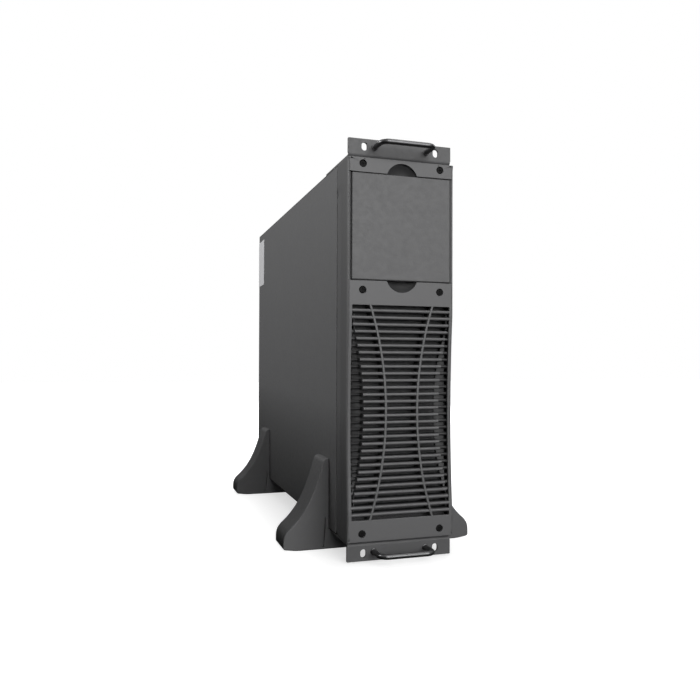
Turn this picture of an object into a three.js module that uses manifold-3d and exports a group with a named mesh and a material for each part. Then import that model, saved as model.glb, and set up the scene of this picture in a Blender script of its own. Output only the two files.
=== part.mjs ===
// A 3U rack/tower convertible uninterruptible power supply, standing as a tower on clip-on feet.
// Millimetres, +Z up, front towards -Y. The origin is on the floor, in the middle of the footprint.
// Within the assembly, Y is counted from the rack-ear plane and Z from the middle of the case.
import * as THREE from "three";
import { mergeVertices } from "three/addons/utils/BufferGeometryUtils.js";
import Module from "manifold-3d";

const wasm = await Module();
wasm.setup();

// ---------------------------------------------------------------- driving dimensions
const CASE_W = 131; // three rack units, less the usual clearance
const CASE_H = 438; // body width in a 19 inch rack, upright here
const PANEL_H = 482.6; // 19 inches over both ears
const EAR_W = 130;
const BEZEL_FRONT = -5; // the bezel stands 5 mm ahead of the ears
const BEZEL_BACK = 39;
const CASE_BACK = 549;
const SHEET = 1.5; // sheet steel
const FIT = 0.3; // gap between touching pieces
const FLOOR = -242.8; // the feet hold the lower ear 1.5 mm off the floor
const HANDLE_REACH = 30;
const REAR_REACH = 560; // tip of the earth stud

const HALF_W = CASE_W / 2;
const HALF_H = CASE_H / 2;
const ROUND = 20; // sides of a small round

// ---------------------------------------------------------------- solids
function solid(geometry) {
  geometry.deleteAttribute("normal");
  geometry.deleteAttribute("uv");
  const merged = mergeVertices(geometry, 1e-4);
  return new wasm.Manifold(
    new wasm.Mesh({
      numProp: 3,
      vertProperties: merged.attributes.position.array,
      triVerts: new Uint32Array(merged.index.array),
    }),
  );
}

function box(x0, x1, y0, y1, z0, z1) {
  const g = new THREE.BoxGeometry(x1 - x0, y1 - y0, z1 - z0);
  return solid(g.translate((x0 + x1) / 2, (y0 + y1) / 2, (z0 + z1) / 2));
}

function shapeOf(points) {
  return new THREE.Shape(points.map(([u, v]) => new THREE.Vector2(u, v)));
}

// Extrusions of a flat outline: (x, z) along Y, (y, z) along X, and (x, y) along Z.
function alongY(shape, y0, y1, curveSegments = 8) {
  const g = new THREE.ExtrudeGeometry(shape, { depth: y1 - y0, bevelEnabled: false, curveSegments });
  return solid(g.rotateX(Math.PI / 2).translate(0, y1, 0));
}

function alongX(shape, x0, x1, curveSegments = 8) {
  const g = new THREE.ExtrudeGeometry(shape, { depth: x1 - x0, bevelEnabled: false, curveSegments });
  const turn = new THREE.Matrix4().set(0, 0, 1, x0, 1, 0, 0, 0, 0, 1, 0, 0, 0, 0, 0, 1);
  return solid(g.applyMatrix4(turn));
}

function alongZ(shape, z0, z1, curveSegments = 8) {
  const g = new THREE.ExtrudeGeometry(shape, { depth: z1 - z0, bevelEnabled: false, curveSegments });
  return solid(g.translate(0, 0, z0));
}

// A round bar from y0 to y1, or with turned axes: "x" and "z".
function bar(axis, radius, from, to, a, b, sides = ROUND) {
  const g = new THREE.CylinderGeometry(radius, radius, to - from, sides);
  const middle = (from + to) / 2;
  if (axis === "y") return solid(g.translate(a, middle, b));
  if (axis === "x") return solid(g.rotateZ(Math.PI / 2).translate(middle, a, b));
  return solid(g.rotateX(Math.PI / 2).translate(a, b, middle));
}

function ball(radius, x, y, z) {
  return solid(new THREE.SphereGeometry(radius, 30, 18).rotateX(Math.PI / 2).translate(x, y, z));
}

// A closed skin over flat sections of equal point count, each an array of [x, y] at its own z.
function loft(levels) {
  const count = levels[0].points.length;
  const position = levels.flatMap(({ z, points }) => points.flatMap(([x, y]) => [x, y, z]));
  const index = [];
  for (let k = 0; k + 1 < levels.length; k++)
    for (let i = 0; i < count; i++) {
      const [a, b] = [k * count + i, k * count + ((i + 1) % count)];
      index.push(a, b, b + count, a, b + count, a + count);
    }
  const cap = ({ points }, base, flip) => {
    const ring = points.map(([x, y]) => new THREE.Vector2(x, y));
    for (const [a, b, c] of THREE.ShapeUtils.triangulateShape(ring, []))
      index.push(base + a, base + (flip ? c : b), base + (flip ? b : c));
  };
  cap(levels[0], 0, true);
  cap(levels.at(-1), (levels.length - 1) * count, false);
  const g = new THREE.BufferGeometry();
  g.setAttribute("position", new THREE.BufferAttribute(new Float32Array(position), 3));
  return solid(g.setIndex(index));
}

function union(...solids) {
  return solids.reduce((a, b) => a.add(b));
}

function less(body, ...cutters) {
  return cutters.reduce((a, b) => a.subtract(b), body);
}

function mirrorX(body) {
  return body.mirror([1, 0, 0]);
}

function mirrorZ(body) {
  return body.mirror([0, 0, 1]);
}

// Numbers from first to last in equal steps.
function steps(first, last, count) {
  return Array.from({ length: count + 1 }, (_, i) => first + ((last - first) * i) / count);
}

// ---------------------------------------------------------------- materials
function finish(color, roughness, metalness) {
  return new THREE.MeshStandardMaterial({ color, roughness, metalness });
}
const CASE_PAINT = finish(0x626263, 0.5, 0);
const BEZEL_PLASTIC = finish(0x5e5e5f, 0.55, 0);
const FOOT_PLASTIC = finish(0x565657, 0.58, 0);
const EAR_PAINT = finish(0x585859, 0.54, 0);
const HANDLE_CHROME = finish(0x7c7c7d, 0.2, 0.9);
const SCREW_BLACK = finish(0x0e0e0f, 0.6, 0);
const FOAM = finish(0x909091, 0.95, 0);
const LABEL = finish(0xc9c9c9, 0.5, 0);
const ZINC = finish(0xa8abad, 0.4, 0.9);
const FAN_PLASTIC = finish(0x191919, 0.5, 0);
const SOCKET_PLASTIC = finish(0x141414, 0.45, 0);
const LEVER_PLASTIC = finish(0x2c2c2c, 0.4, 0);
const BOARD = finish(0x1f5a36, 0.6, 0);
const HEATSINK = finish(0x9a9da0, 0.45, 0.9);
const BATTERY_CASE = finish(0x2a2c2f, 0.6, 0);
const CAN_SLEEVE = finish(0x1d2c55, 0.4, 0);
const COPPER = finish(0xa0622e, 0.4, 0.8);
const LEAD_RED = finish(0xa31515, 0.5, 0);
const LEAD_BLACK = finish(0x101010, 0.5, 0);

const assembly = new THREE.Group();

function add(name, body, material) {
  const mesh = body.getMesh();
  const g = new THREE.BufferGeometry();
  g.setAttribute("position", new THREE.BufferAttribute(new Float32Array(mesh.vertProperties), 3));
  g.setIndex(new THREE.BufferAttribute(new Uint32Array(mesh.triVerts), 1));
  const flat = g.toNonIndexed();
  flat.computeVertexNormals();
  const piece = new THREE.Mesh(flat, material);
  piece.name = name;
  assembly.add(piece);
}

// ---------------------------------------------------------------- case
const LIP = 12; // the tub's folded edge, which the side cover is screwed to
const COVER_IN = -HALF_W + SHEET; // inner face of the side cover
const TUB_LEFT = COVER_IN + FIT;
const CASE_FRONT = BEZEL_BACK + FIT;
const WALL_IN = HALF_W - SHEET; // inner face of the tub's right wall
const BOARD_X = 57; // solder side of the power board
const BOARD_THICK = 1.6;
const STANDOFFS = [290, 478].flatMap((y) => [-190, 190].map((z) => [y, z]));

// The tub is one folded sheet: the right side, top and bottom, with lips for the side cover.
function chassisTub() {
  const folded = shapeOf([
    [TUB_LEFT, HALF_H],
    [HALF_W, HALF_H],
    [HALF_W, -HALF_H],
    [TUB_LEFT, -HALF_H],
    [TUB_LEFT, -HALF_H + LIP],
    [TUB_LEFT + SHEET, -HALF_H + LIP],
    [TUB_LEFT + SHEET, -HALF_H + SHEET],
    [WALL_IN, -HALF_H + SHEET],
    [WALL_IN, HALF_H - SHEET],
    [TUB_LEFT + SHEET, HALF_H - SHEET],
    [TUB_LEFT + SHEET, HALF_H - LIP],
    [TUB_LEFT, HALF_H - LIP],
  ]);
  const posts = STANDOFFS.map(([y, z]) => bar("x", 4, BOARD_X + FIT, WALL_IN + SHEET / 2, y, z, 6));
  return union(alongY(folded, CASE_FRONT, CASE_BACK), ...posts);
}

function sideCover() {
  return box(-HALF_W, COVER_IN, CASE_FRONT, CASE_BACK, -HALF_H, HALF_H);
}

// Inside the tub, bulkheads keep clear of the lips on the left and of the walls elsewhere.
const INNER = {
  left: TUB_LEFT + SHEET + FIT,
  right: WALL_IN - FIT,
  half: HALF_H - SHEET - FIT,
};

// A sheet bulkhead whose top and bottom edges are folded by `fold`, backwards or forwards.
function bulkhead(y, fold) {
  const [y0, y1] = [y, y + SHEET];
  const [f0, f1] = fold > 0 ? [y0, y0 + fold] : [y1 + fold, y1];
  const { left, right, half } = INNER;
  return union(
    box(left, right, y0, y1, -half, half),
    box(left, right, f0, f1, half - SHEET, half),
    box(left, right, f0, f1, -half, -half + SHEET),
    box(right - SHEET, right, f0, f1, -half, half),
  );
}

// ---------------------------------------------------------------- front bezel
const BEZEL_HALF_W = HALF_W - 0.2;
const BEZEL_HALF_H = HALF_H - 0.4;
const BEZEL_WALL = 2.5;
const BEZEL_PLATE = 3;
const BEZEL_ROUND = 3; // radius along the upright front edges
const COVER_HALF = 61; // the square display-bay cover, 122 mm a side
const BAY_GAP = 0.5;
const BAY_MID = 139.9; // height of the bay's centre
const BAY_DEPTH = 13.5;
const BAY_HALF = COVER_HALF + BAY_GAP;
const BAY_WINDOW = 40;
const SLOT_PITCH = 8;
const SLOT_COUNT = 31;
const SLOT_GAP = 4.5;
const SLOT_TOP = 48; // height of the first slot's centre
const SLOT_HALF_W = 60.2;
const LOUVRE_DEPTH = 14;
const GRILLE_MID = SLOT_TOP - ((SLOT_COUNT - 1) * SLOT_PITCH) / 2;
const GRILLE_HALF = ((SLOT_COUNT - 1) * SLOT_PITCH + SLOT_GAP) / 2;
const WAIST_R = 400; // radius of the hourglass curves
const RIB_WAIST = 19.3; // half distance between the ribs at the waist
const RIB_W = 2.8;
const WING_WAIST = 46.5; // where the side scoop starts, at the waist
const WING_HALF = 112; // half height of the side scoop
const WING_LIP = 7; // how far the bezel's edge is cut back at the waist
const WING_STEP = 13; // depth of the scoop beside the raised louvres
const NOTCH_CHORD = 18.5; // half width of the finger notch at the cover's edge
const NOTCH_RISE = 13;
const NOTCH_DEPTH = 9;
const SCREW_X = 47.8;
const SCREW_Z = [211.4, 67.3, -209.2];
const SCREW_HEAD_R = 4.3;
const SCREW_HEAD_H = 2.2;
const SCREW_SHANK_R = 2;

// How far the hourglass curve has moved out from the waist at height z.
function bow(z) {
  return WAIST_R - Math.sqrt(WAIST_R ** 2 - (z - GRILLE_MID) ** 2);
}

// The upright edges are rounded, and the ends have a 1 mm chamfer.
function bezelBlock() {
  const [w, r, f] = [BEZEL_HALF_W, BEZEL_ROUND, BEZEL_FRONT];
  const outline = new THREE.Shape();
  outline.moveTo(-w, BEZEL_BACK + 2);
  outline.lineTo(-w, f + r);
  outline.absarc(-w + r, f + r, r, Math.PI, 1.5 * Math.PI, false);
  outline.lineTo(w - r, f);
  outline.absarc(w - r, f + r, r, 1.5 * Math.PI, 2 * Math.PI, false);
  outline.lineTo(w, BEZEL_BACK + 2);
  const chamfer = 1;
  const g = new THREE.ExtrudeGeometry(outline, {
    depth: 2 * (BEZEL_HALF_H - chamfer),
    bevelSize: chamfer,
    bevelOffset: -chamfer,
    bevelThickness: chamfer,
    bevelSegments: 1,
    curveSegments: 6,
  });
  const block = solid(g.translate(0, 0, -BEZEL_HALF_H + chamfer));
  return block.intersect(box(-HALF_W, HALF_W, f, BEZEL_BACK, -HALF_H, HALF_H));
}

function louvres() {
  const half = (SLOT_PITCH - SLOT_GAP) / 2;
  const reach = BEZEL_HALF_W - 1;
  const back = BEZEL_FRONT + LOUVRE_DEPTH;
  const bars = steps(SLOT_TOP - SLOT_PITCH / 2, SLOT_TOP - (SLOT_COUNT - 1.5) * SLOT_PITCH, SLOT_COUNT - 2);
  return union(...bars.map((z) => box(-reach, reach, BEZEL_FRONT, back, z - half, z + half)));
}

// A curved rib that ties the louvres together, 0.4 mm proud of them.
function rib() {
  const [front, back] = [BEZEL_FRONT - 0.4, BEZEL_FRONT + LOUVRE_DEPTH];
  const ends = GRILLE_HALF + 1;
  return loft(
    steps(GRILLE_MID - ends, GRILLE_MID + ends, 14).map((z) => {
      const x = RIB_WAIST + bow(z);
      const [x0, x1] = [x - RIB_W / 2, x + RIB_W / 2];
      return { z, points: [[x0, front], [x1, front], [x1, back], [x0, back]] };
    }),
  );
}

// The air in front of the side scoop: deepest beside the raised louvres, shallower at the bezel's edge.
function scoopCutter() {
  const outside = HALF_W + 3;
  const levels = steps(GRILLE_MID - WING_HALF, GRILLE_MID + WING_HALF, 14).map((z) => {
    const inner = WING_WAIST + bow(z);
    const share = 1 - bow(z) / bow(GRILLE_MID + WING_HALF);
    const floor = steps(1, 0, 3).map((t) => {
      const depth = WING_LIP + (WING_STEP - WING_LIP) * Math.sin((t * Math.PI) / 2);
      return [inner + (BEZEL_HALF_W - inner) * (1 - t), BEZEL_FRONT + share * depth];
    });
    const edge = [outside, BEZEL_FRONT + share * WING_LIP];
    const air = BEZEL_FRONT - 10;
    return { z, points: [[inner, air], [outside, air], edge, ...floor.reverse()] };
  });
  return loft(levels);
}

// The finger notch is a shallow bowl whose rim is a circle on the bezel's face.
const NOTCH_R = (NOTCH_CHORD ** 2 + NOTCH_RISE ** 2) / (2 * NOTCH_RISE);
const BOWL_R = (NOTCH_R ** 2 + NOTCH_DEPTH ** 2) / (2 * NOTCH_DEPTH);

function notches() {
  const y = BEZEL_FRONT + NOTCH_DEPTH - BOWL_R;
  return [1, -1].map((side) => {
    const edge = BAY_MID + side * BAY_HALF;
    const z = edge + side * (NOTCH_RISE - NOTCH_R);
    const [z0, z1] = [edge, edge + side * (NOTCH_RISE + 2)].sort((a, b) => a - b);
    const room = box(-24, 24, BEZEL_FRONT + 0.5, BEZEL_FRONT + 13, z0, z1);
    return { bowl: ball(BOWL_R + 2, 0, y, z).intersect(room), air: ball(BOWL_R, 0, y, z) };
  });
}

function screwPlaces() {
  return SCREW_Z.flatMap((z) => [-SCREW_X, SCREW_X].map((x) => [x, z]));
}

function frontBezel() {
  const f = BEZEL_FRONT;
  const inside = box(
    -BEZEL_HALF_W + BEZEL_WALL, BEZEL_HALF_W - BEZEL_WALL,
    f + BEZEL_PLATE, BEZEL_BACK + 1,
    -BEZEL_HALF_H + BEZEL_WALL, BEZEL_HALF_H - BEZEL_WALL,
  );
  const grille = box(
    -SLOT_HALF_W, SLOT_HALF_W, f - 1, f + BEZEL_PLATE + 1,
    GRILLE_MID - GRILLE_HALF, GRILLE_MID + GRILLE_HALF,
  );
  const frame = BEZEL_HALF_W - 1;
  const bay = box(-frame, frame, f + 1, f + BAY_DEPTH + 2, BAY_MID - BAY_HALF - 2, BAY_MID + BAY_HALF + 2);
  const bayAir = box(-BAY_HALF, BAY_HALF, f - 1, f + BAY_DEPTH, BAY_MID - BAY_HALF, BAY_MID + BAY_HALF);
  const window = box(
    -BAY_WINDOW, BAY_WINDOW, f, f + BAY_DEPTH + 5, BAY_MID - BAY_WINDOW, BAY_MID + BAY_WINDOW,
  );
  const bosses = screwPlaces().map(([x, z]) => bar("y", 5.5, f + 1, BEZEL_BACK - 1, x, z, 8));
  const holes = screwPlaces().flatMap(([x, z]) => [
    bar("y", SCREW_SHANK_R + 0.4, f, BEZEL_BACK + 1, x, z, 8),
    bar("y", SCREW_HEAD_R + 0.4, f - 1, f + SCREW_HEAD_H + FIT, x, z, 16),
  ]);
  const [upper, lower] = notches();
  const ribs = [rib(), mirrorX(rib())];
  const scoop = scoopCutter();
  const body = less(bezelBlock(), inside, grille).add(union(louvres(), ...ribs, bay, ...bosses));
  return less(
    union(body, upper.bowl, lower.bowl),
    scoop, mirrorX(scoop), bayAir, window, upper.air, lower.air, ...holes,
  );
}

// The display bay's cover: a shallow square lid with a rim.
function displayCover() {
  const [c, front] = [COVER_HALF, BEZEL_FRONT - 0.4];
  const [rim, plate, depth] = [2, 2.5, 12];
  const inner = c - rim;
  return less(
    box(-c, c, front, front + depth, BAY_MID - c, BAY_MID + c),
    box(-inner, inner, front + plate, front + depth + 1, BAY_MID - inner, BAY_MID + inner),
  );
}

function bezelScrew([x, z]) {
  const f = BEZEL_FRONT + 0.2;
  return union(
    bar("y", SCREW_HEAD_R, f, f + SCREW_HEAD_H - 0.2, x, z, 16),
    bar("y", SCREW_SHANK_R, f + 1, FRONT_WALL + 3.5, x, z, 8),
  );
}

function dustFilter() {
  const y = BEZEL_FRONT + LOUVRE_DEPTH + 1;
  return box(-BEZEL_HALF_W + 4, BEZEL_HALF_W - 4, y, y + 6, GRILLE_MID - 127, GRILLE_MID + 127);
}

// ---------------------------------------------------------------- front bulkhead, trays and inner parts
const FRONT_WALL = CASE_FRONT + 2;
const TRAY = { left: -54, right: 61.5, front: 46, back: 252, bottom: -207, top: 101, sheet: 1.2 };
const BATTERY = { x: 94, y: 65, z: 151, terminal: 6 };
const BATTERY_Y = [81, 149, 217];
const BATTERY_Z = [-129.4, 23.4];
const DIVIDER = 262;

function frontFrame() {
  const tray = box(TRAY.left - 2, TRAY.right + 0.8, FRONT_WALL - 1, FRONT_WALL + 3, TRAY.bottom - 2, TRAY.top + 2);
  const window = box(-42, 42, FRONT_WALL - 1, FRONT_WALL + 3, 116, 182);
  const holes = screwPlaces().map(([x, z]) => bar("y", SCREW_SHANK_R + 0.4, FRONT_WALL - 1, FRONT_WALL + 3, x, z, 12));
  const tabs = screwPlaces()
    .slice(2)
    .map(([x, z]) => box(x - 7, x + 7, FRONT_WALL, FRONT_WALL + SHEET, z - 7, z + 7));
  const edges = [-1, 1].map((side) => {
    const [x0, x1] = [side * 41, side * (side > 0 ? INNER.right : -INNER.left)].sort((a, b) => a - b);
    return box(x0, x1, FRONT_WALL, FRONT_WALL + SHEET, SCREW_Z[1] - 7, SCREW_Z[1] + 7);
  });
  return less(union(less(bulkhead(FRONT_WALL, 10), tray), ...tabs, ...edges), window, ...holes);
}

function batteryTray() {
  const t = TRAY;
  return less(
    box(t.left, t.right, t.front, t.back, t.bottom, t.top),
    box(t.left - 1, t.right - t.sheet, t.front + t.sheet, t.back - t.sheet, t.bottom + t.sheet, t.top - t.sheet),
    box(t.left - 1, -36, t.back - 2, t.back + 1, 30, 72),
  );
}

// A sealed lead-acid block on its side, with its two blade terminals towards the side cover.
function battery(y, z) {
  const right = TRAY.right - TRAY.sheet - FIT - 1;
  const left = right - BATTERY.x;
  const [hy, hz] = [BATTERY.y / 2, BATTERY.z / 2];
  const tabs = [-1, 1].map((side) =>
    box(left - BATTERY.terminal, left + 1, y - 3, y + 3, z + side * 58 - 0.5, z + side * 58 + 0.5),
  );
  const lid = box(left, left + 8, y - hy + 1, y + hy - 1, z - hz + 1, z + hz - 1);
  return union(box(left + 7, right, y - hy, y + hy, z - hz, z + hz), lid, ...tabs);
}

// The sheet between the battery bay and the power electronics, with windows for air and cables.
function bayDivider() {
  const windows = [-150, -50, 50, 150].map((z) => box(-50, 30, DIVIDER - 1, DIVIDER + 3, z - 32, z + 32));
  return less(bulkhead(DIVIDER, 10), ...windows);
}

function powerBoard() {
  const [x0, x1] = [BOARD_X - BOARD_THICK, BOARD_X];
  return box(x0, x1, 276, 492, -205, 205);
}

// Fins run along the air path, towards the fans.
function heatsink(z) {
  const [base, root, tip] = [BOARD_X - BOARD_THICK - FIT, 7, 48];
  const [fins, pitch, thick] = [9, 9.5, 2.2];
  const bottom = z - ((fins - 1) * pitch + thick) / 2;
  const points = [[base, bottom], [base, bottom + (fins - 1) * pitch + thick]];
  for (let i = fins - 1; i >= 0; i--) {
    const z0 = bottom + i * pitch;
    points.push([base - tip, z0 + thick], [base - tip, z0]);
    if (i > 0) points.push([base - root, z0], [base - root, z0 - pitch + thick]);
  }
  return alongY(shapeOf(points), 292, 472);
}

function busCapacitor(y) {
  const base = BOARD_X - BOARD_THICK - FIT;
  return bar("x", 25, base - 80, base, y, -110, 24);
}

function outputChoke() {
  const [base, r, ring] = [BOARD_X - BOARD_THICK - FIT, 13, 26];
  const profile = new THREE.Path().absellipse(ring, 0, r, 15, 0, 2 * Math.PI).getPoints(8);
  const g = new THREE.LatheGeometry(profile, 18).rotateZ(Math.PI / 2);
  return solid(g.translate(base - 15, 446, -115));
}

function controlBoard() {
  const x = 46;
  const chips = [[80, 190, 14], [120, 160, 22], [170, 180, 12], [200, 140, 18]].map(([y, z, size]) =>
    box(x - 4, x + 1, y, y + size, z - size / 2, z + size / 2),
  );
  return union(box(x, x + BOARD_THICK, 62, 240, 118, 208), ...chips);
}

// A battery lead from the tray's last block, through the divider and down to the power board.
function batteryLead(z, landing) {
  const path = new THREE.CatmullRomCurve3([
    new THREE.Vector3(-46, 200, z),
    new THREE.Vector3(-47, 240, z),
    new THREE.Vector3(-40, 275, z),
    new THREE.Vector3(-10, 284, (z + landing) / 2),
    new THREE.Vector3(30, 285, landing),
    new THREE.Vector3(BOARD_X - BOARD_THICK - 2, 285, landing),
  ]);
  const section = new THREE.Shape().absarc(0, 0, 2.6, 0, 2 * Math.PI);
  return solid(new THREE.ExtrudeGeometry(section, { steps: 22, extrudePath: path, curveSegments: 4 }));
}

// ---------------------------------------------------------------- rack ears and handles
const EAR_SHEET = 3;
const EAR_FLANGE = 94;
const SLOT_SPACING = 88.9; // two rack units between the panel slots
const SLOT_LINE = 465.1 / 2; // the rails' hole lines
const HANDLE_X = 32;
const HANDLE_Z = 231;
const HANDLE_R = 3;

function slotOutline(x, z, width, length) {
  const [r, run] = [width / 2, (length - width) / 2];
  const path = new THREE.Path();
  path.absarc(x, z + run, r, 0, Math.PI, false);
  path.absarc(x, z - run, r, Math.PI, 2 * Math.PI, false);
  return path;
}

function rackEar() {
  const z0 = HALF_H + FIT;
  const plate = shapeOf([[-EAR_W / 2, z0], [EAR_W / 2, z0], [EAR_W / 2, PANEL_H / 2], [-EAR_W / 2, PANEL_H / 2]]);
  plate.holes.push(slotOutline(-SLOT_SPACING / 2, SLOT_LINE, 7, 10));
  plate.holes.push(slotOutline(SLOT_SPACING / 2, SLOT_LINE, 7, 10));
  const flange = box(-HALF_W + 0.2, HALF_W - 0.2, 0, EAR_FLANGE, z0, z0 + EAR_SHEET);
  return union(alongY(plate, 0, EAR_SHEET, 6), flange);
}

// A bent round bar, standing on two small collars.
function handle() {
  const [x, z, out, bend] = [HANDLE_X, HANDLE_Z, -HANDLE_REACH + HANDLE_R, 9];
  const at = (px, py) => new THREE.Vector3(px, py, z);
  const path = new THREE.CurvePath();
  path.add(new THREE.LineCurve3(at(-x, -FIT), at(-x, out + bend)));
  path.add(new THREE.QuadraticBezierCurve3(at(-x, out + bend), at(-x, out), at(-x + bend, out)));
  path.add(new THREE.LineCurve3(at(-x + bend, out), at(x - bend, out)));
  path.add(new THREE.QuadraticBezierCurve3(at(x - bend, out), at(x, out), at(x, out + bend)));
  path.add(new THREE.LineCurve3(at(x, out + bend), at(x, -FIT)));
  const section = new THREE.Shape().absarc(0, 0, HANDLE_R, 0, 2 * Math.PI);
  const g = new THREE.ExtrudeGeometry(section, { steps: 18, extrudePath: path, curveSegments: 5 });
  const collars = [-x, x].map((px) => bar("y", 5, -FIT - 1.5, -FIT, px, z, 16));
  return union(solid(g), ...collars);
}

// ---------------------------------------------------------------- feet
const FOOT_Y = { front: 67, rear: 436 };
const FOOT_THICK = 45;
const FOOT_TIP = 57; // how far the foot reaches beside the case
const FOOT_TOP = -133;
const SPACER_HALF = 24;

// Half a foot seen from the front: a shark-fin outside the case, and a base under it.
function footHalf(y) {
  const [side, base] = [-HALF_W - FIT, -HALF_H - FIT];
  const tip = -HALF_W - FOOT_TIP;
  const outline = new THREE.Shape();
  outline.moveTo(-SPACER_HALF, FLOOR);
  outline.lineTo(-SPACER_HALF, base);
  outline.lineTo(side, base);
  outline.lineTo(side, FOOT_TOP);
  outline.quadraticCurveTo(side - 6, FOOT_TOP + 1, side - 8, FOOT_TOP - 5);
  outline.bezierCurveTo(side - 15.5, -163.5, side - 24, -195.5, tip + 6.5, -217);
  outline.quadraticCurveTo(tip, -224, tip, FLOOR + 9);
  outline.lineTo(tip, FLOOR + 3);
  outline.lineTo(tip + 2.5, FLOOR);
  const body = alongY(outline, y, y + FOOT_THICK, 9);
  const wall = 4;
  const pockets = [[-60, -SPACER_HALF - wall], [-108, -64]].map(([x0, x1]) =>
    box(x0, x1, y + wall, y + FOOT_THICK - wall, FLOOR - 1, FLOOR + 15),
  );
  return less(body, ...pockets);
}

// The front foot is relieved where the lower ear's flange lies under the case.
function earRelief() {
  return box(-HALF_W, HALF_W, 0, EAR_FLANGE + 1, -HALF_H - FIT - EAR_SHEET - 0.5, -HALF_H);
}

function footSpacer(y) {
  const x = SPACER_HALF - FIT;
  return less(
    box(-x, x, y + 1, y + FOOT_THICK - 1, FLOOR, -HALF_H - FIT),
    box(-x + 4, x - 4, y + 5, y + FOOT_THICK - 5, FLOOR - 1, FLOOR + 15),
  );
}

// ---------------------------------------------------------------- rear panel
const REAR_WALL = CASE_BACK - 3;
const REAR_FACE = REAR_WALL + SHEET;
const FAN = { size: 80, depth: 25, bore: 38, hub: 18, blades: 7, z: [52, -36] };
const SLOT_PLATE = { x: -44, z: 156, w: 28, h: 112 };
const COMM = { x: -2, z: 176, w: 36, h: 64 };
const BATTERY_PORT = { x: 42, z: 176, w: 30, h: 52 };
const BREAKER = { x: 42, z: 118, w: 34, h: 44 };
const SWITCH = { x: -2, z: 118, w: 24, h: 32 };
const OUTLETS = { x: -30, z: -124, w: 60, h: 68 };
const LARGE_OUTLET = { x: 34, z: -108, w: 38, h: 32 };
const INLET = { x: 34, z: -184, w: 40, h: 46 };
const RESETTER = { x: 34, z: -143, r: 6 };
const EARTH = { x: -48, z: -196 };

// A box of panel-mounted part p, grown by g, from y0 to y1.
function slab(p, y0, y1, g = 0) {
  return box(p.x - p.w / 2 - g, p.x + p.w / 2 + g, y0, y1, p.z - p.h / 2 - g, p.z + p.h / 2 + g);
}

function rearPanel() {
  const through = [REAR_WALL - 1, REAR_FACE + 1];
  const fans = FAN.z.map((z) => bar("y", FAN.bore, ...through, 0, z, 32));
  const ports = [COMM, BATTERY_PORT, BREAKER, SWITCH, OUTLETS, LARGE_OUTLET, INLET];
  const cuts = ports.map((p) => slab(p, ...through, -2.5 + FIT));
  const slot = slab(SLOT_PLATE, ...through, -4);
  const rounds = [
    bar("y", RESETTER.r + FIT, ...through, RESETTER.x, RESETTER.z),
    bar("y", 3 + FIT, ...through, EARTH.x, EARTH.z, 12),
  ];
  return less(bulkhead(REAR_WALL, -10), ...fans, ...cuts, slot, ...rounds);
}

// A part that plugs into a rear cut-out: a flange outside, and a body reaching inside.
function panelBody(p, proud, reach) {
  return union(
    slab(p, REAR_FACE + FIT, REAR_FACE + FIT + proud),
    slab(p, REAR_WALL - reach, REAR_FACE + FIT + proud / 2, -2.5),
  );
}

// Four struts hold the motor disc in the middle of the fan's open frame.
function fanFrame(z) {
  const y1 = REAR_WALL - FIT;
  const y0 = y1 - FAN.depth;
  const h = FAN.size / 2;
  const ring = less(box(-h, h, y0, y1, z - h, z + h), bar("y", FAN.bore, y0 - 1, y1 + 1, 0, z, 32));
  const strut = 4;
  const cross = union(
    box(-h + 1, h - 1, y1 - 4, y1, z - strut / 2, z + strut / 2),
    box(-strut / 2, strut / 2, y1 - 4, y1, z - h + 1, z + h - 1),
  );
  const relief = [-1, 1].flatMap((sx) =>
    [-1, 1].map((sz) => bar("y", 2.2, y0 - 1, y1 + 1, sx * 35.75, z + sz * 35.75, 8)),
  );
  return less(union(ring, cross, bar("y", FAN.hub - 1, y1 - 4, y1, 0, z, 24)), ...relief);
}

// The blades are set at an angle round the hub.
function fanRotor(z) {
  const y1 = REAR_WALL - FIT - 5;
  const y0 = y1 - 18;
  const tip = FAN.bore - 1.5;
  const blades = steps(0, 2 * Math.PI, FAN.blades)
    .slice(1)
    .map((angle) => {
      const blade = new THREE.BoxGeometry(tip - FAN.hub + 3, 1.6, 19);
      blade.rotateX(THREE.MathUtils.degToRad(48)).translate((tip + FAN.hub - 3) / 2, 0, 0);
      return solid(blade.rotateY(angle).translate(0, (y0 + y1) / 2, z));
    });
  const sweep = bar("y", tip, y0 + 1, y1 - 1, 0, z, 32);
  return union(...blades).intersect(sweep).add(bar("y", FAN.hub, y0, y1, 0, z, 24));
}

// A finger guard: flat rings on a cross, held at the fan's corner holes.
function fanGuard(z) {
  const [y0, y1] = [REAR_FACE + FIT, REAR_FACE + FIT + 1.8];
  const ring = (r) => {
    const flat = new THREE.Shape().absarc(0, z, r + 1, 0, 2 * Math.PI);
    flat.holes.push(new THREE.Path().absarc(0, z, r - 1, 0, 2 * Math.PI));
    return alongY(flat, y0, y1, 8);
  };
  const arms = [45, 135].map((degrees) => {
    const arm = new THREE.BoxGeometry(2 * 50.5, 1.8, 4).rotateY(THREE.MathUtils.degToRad(degrees));
    return solid(arm.translate(0, (y0 + y1) / 2, z));
  });
  return union(...[9, 19, 29, 38].map(ring), ...arms);
}

const LEVER_PIVOT = REAR_FACE - 3;

function breakerBody() {
  const lane = box(BREAKER.x - 10.5, BREAKER.x + 10.5, REAR_FACE - 14, REAR_FACE + 10, BREAKER.z - 15, BREAKER.z + 15);
  return less(panelBody(BREAKER, 4, 50), lane);
}

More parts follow.
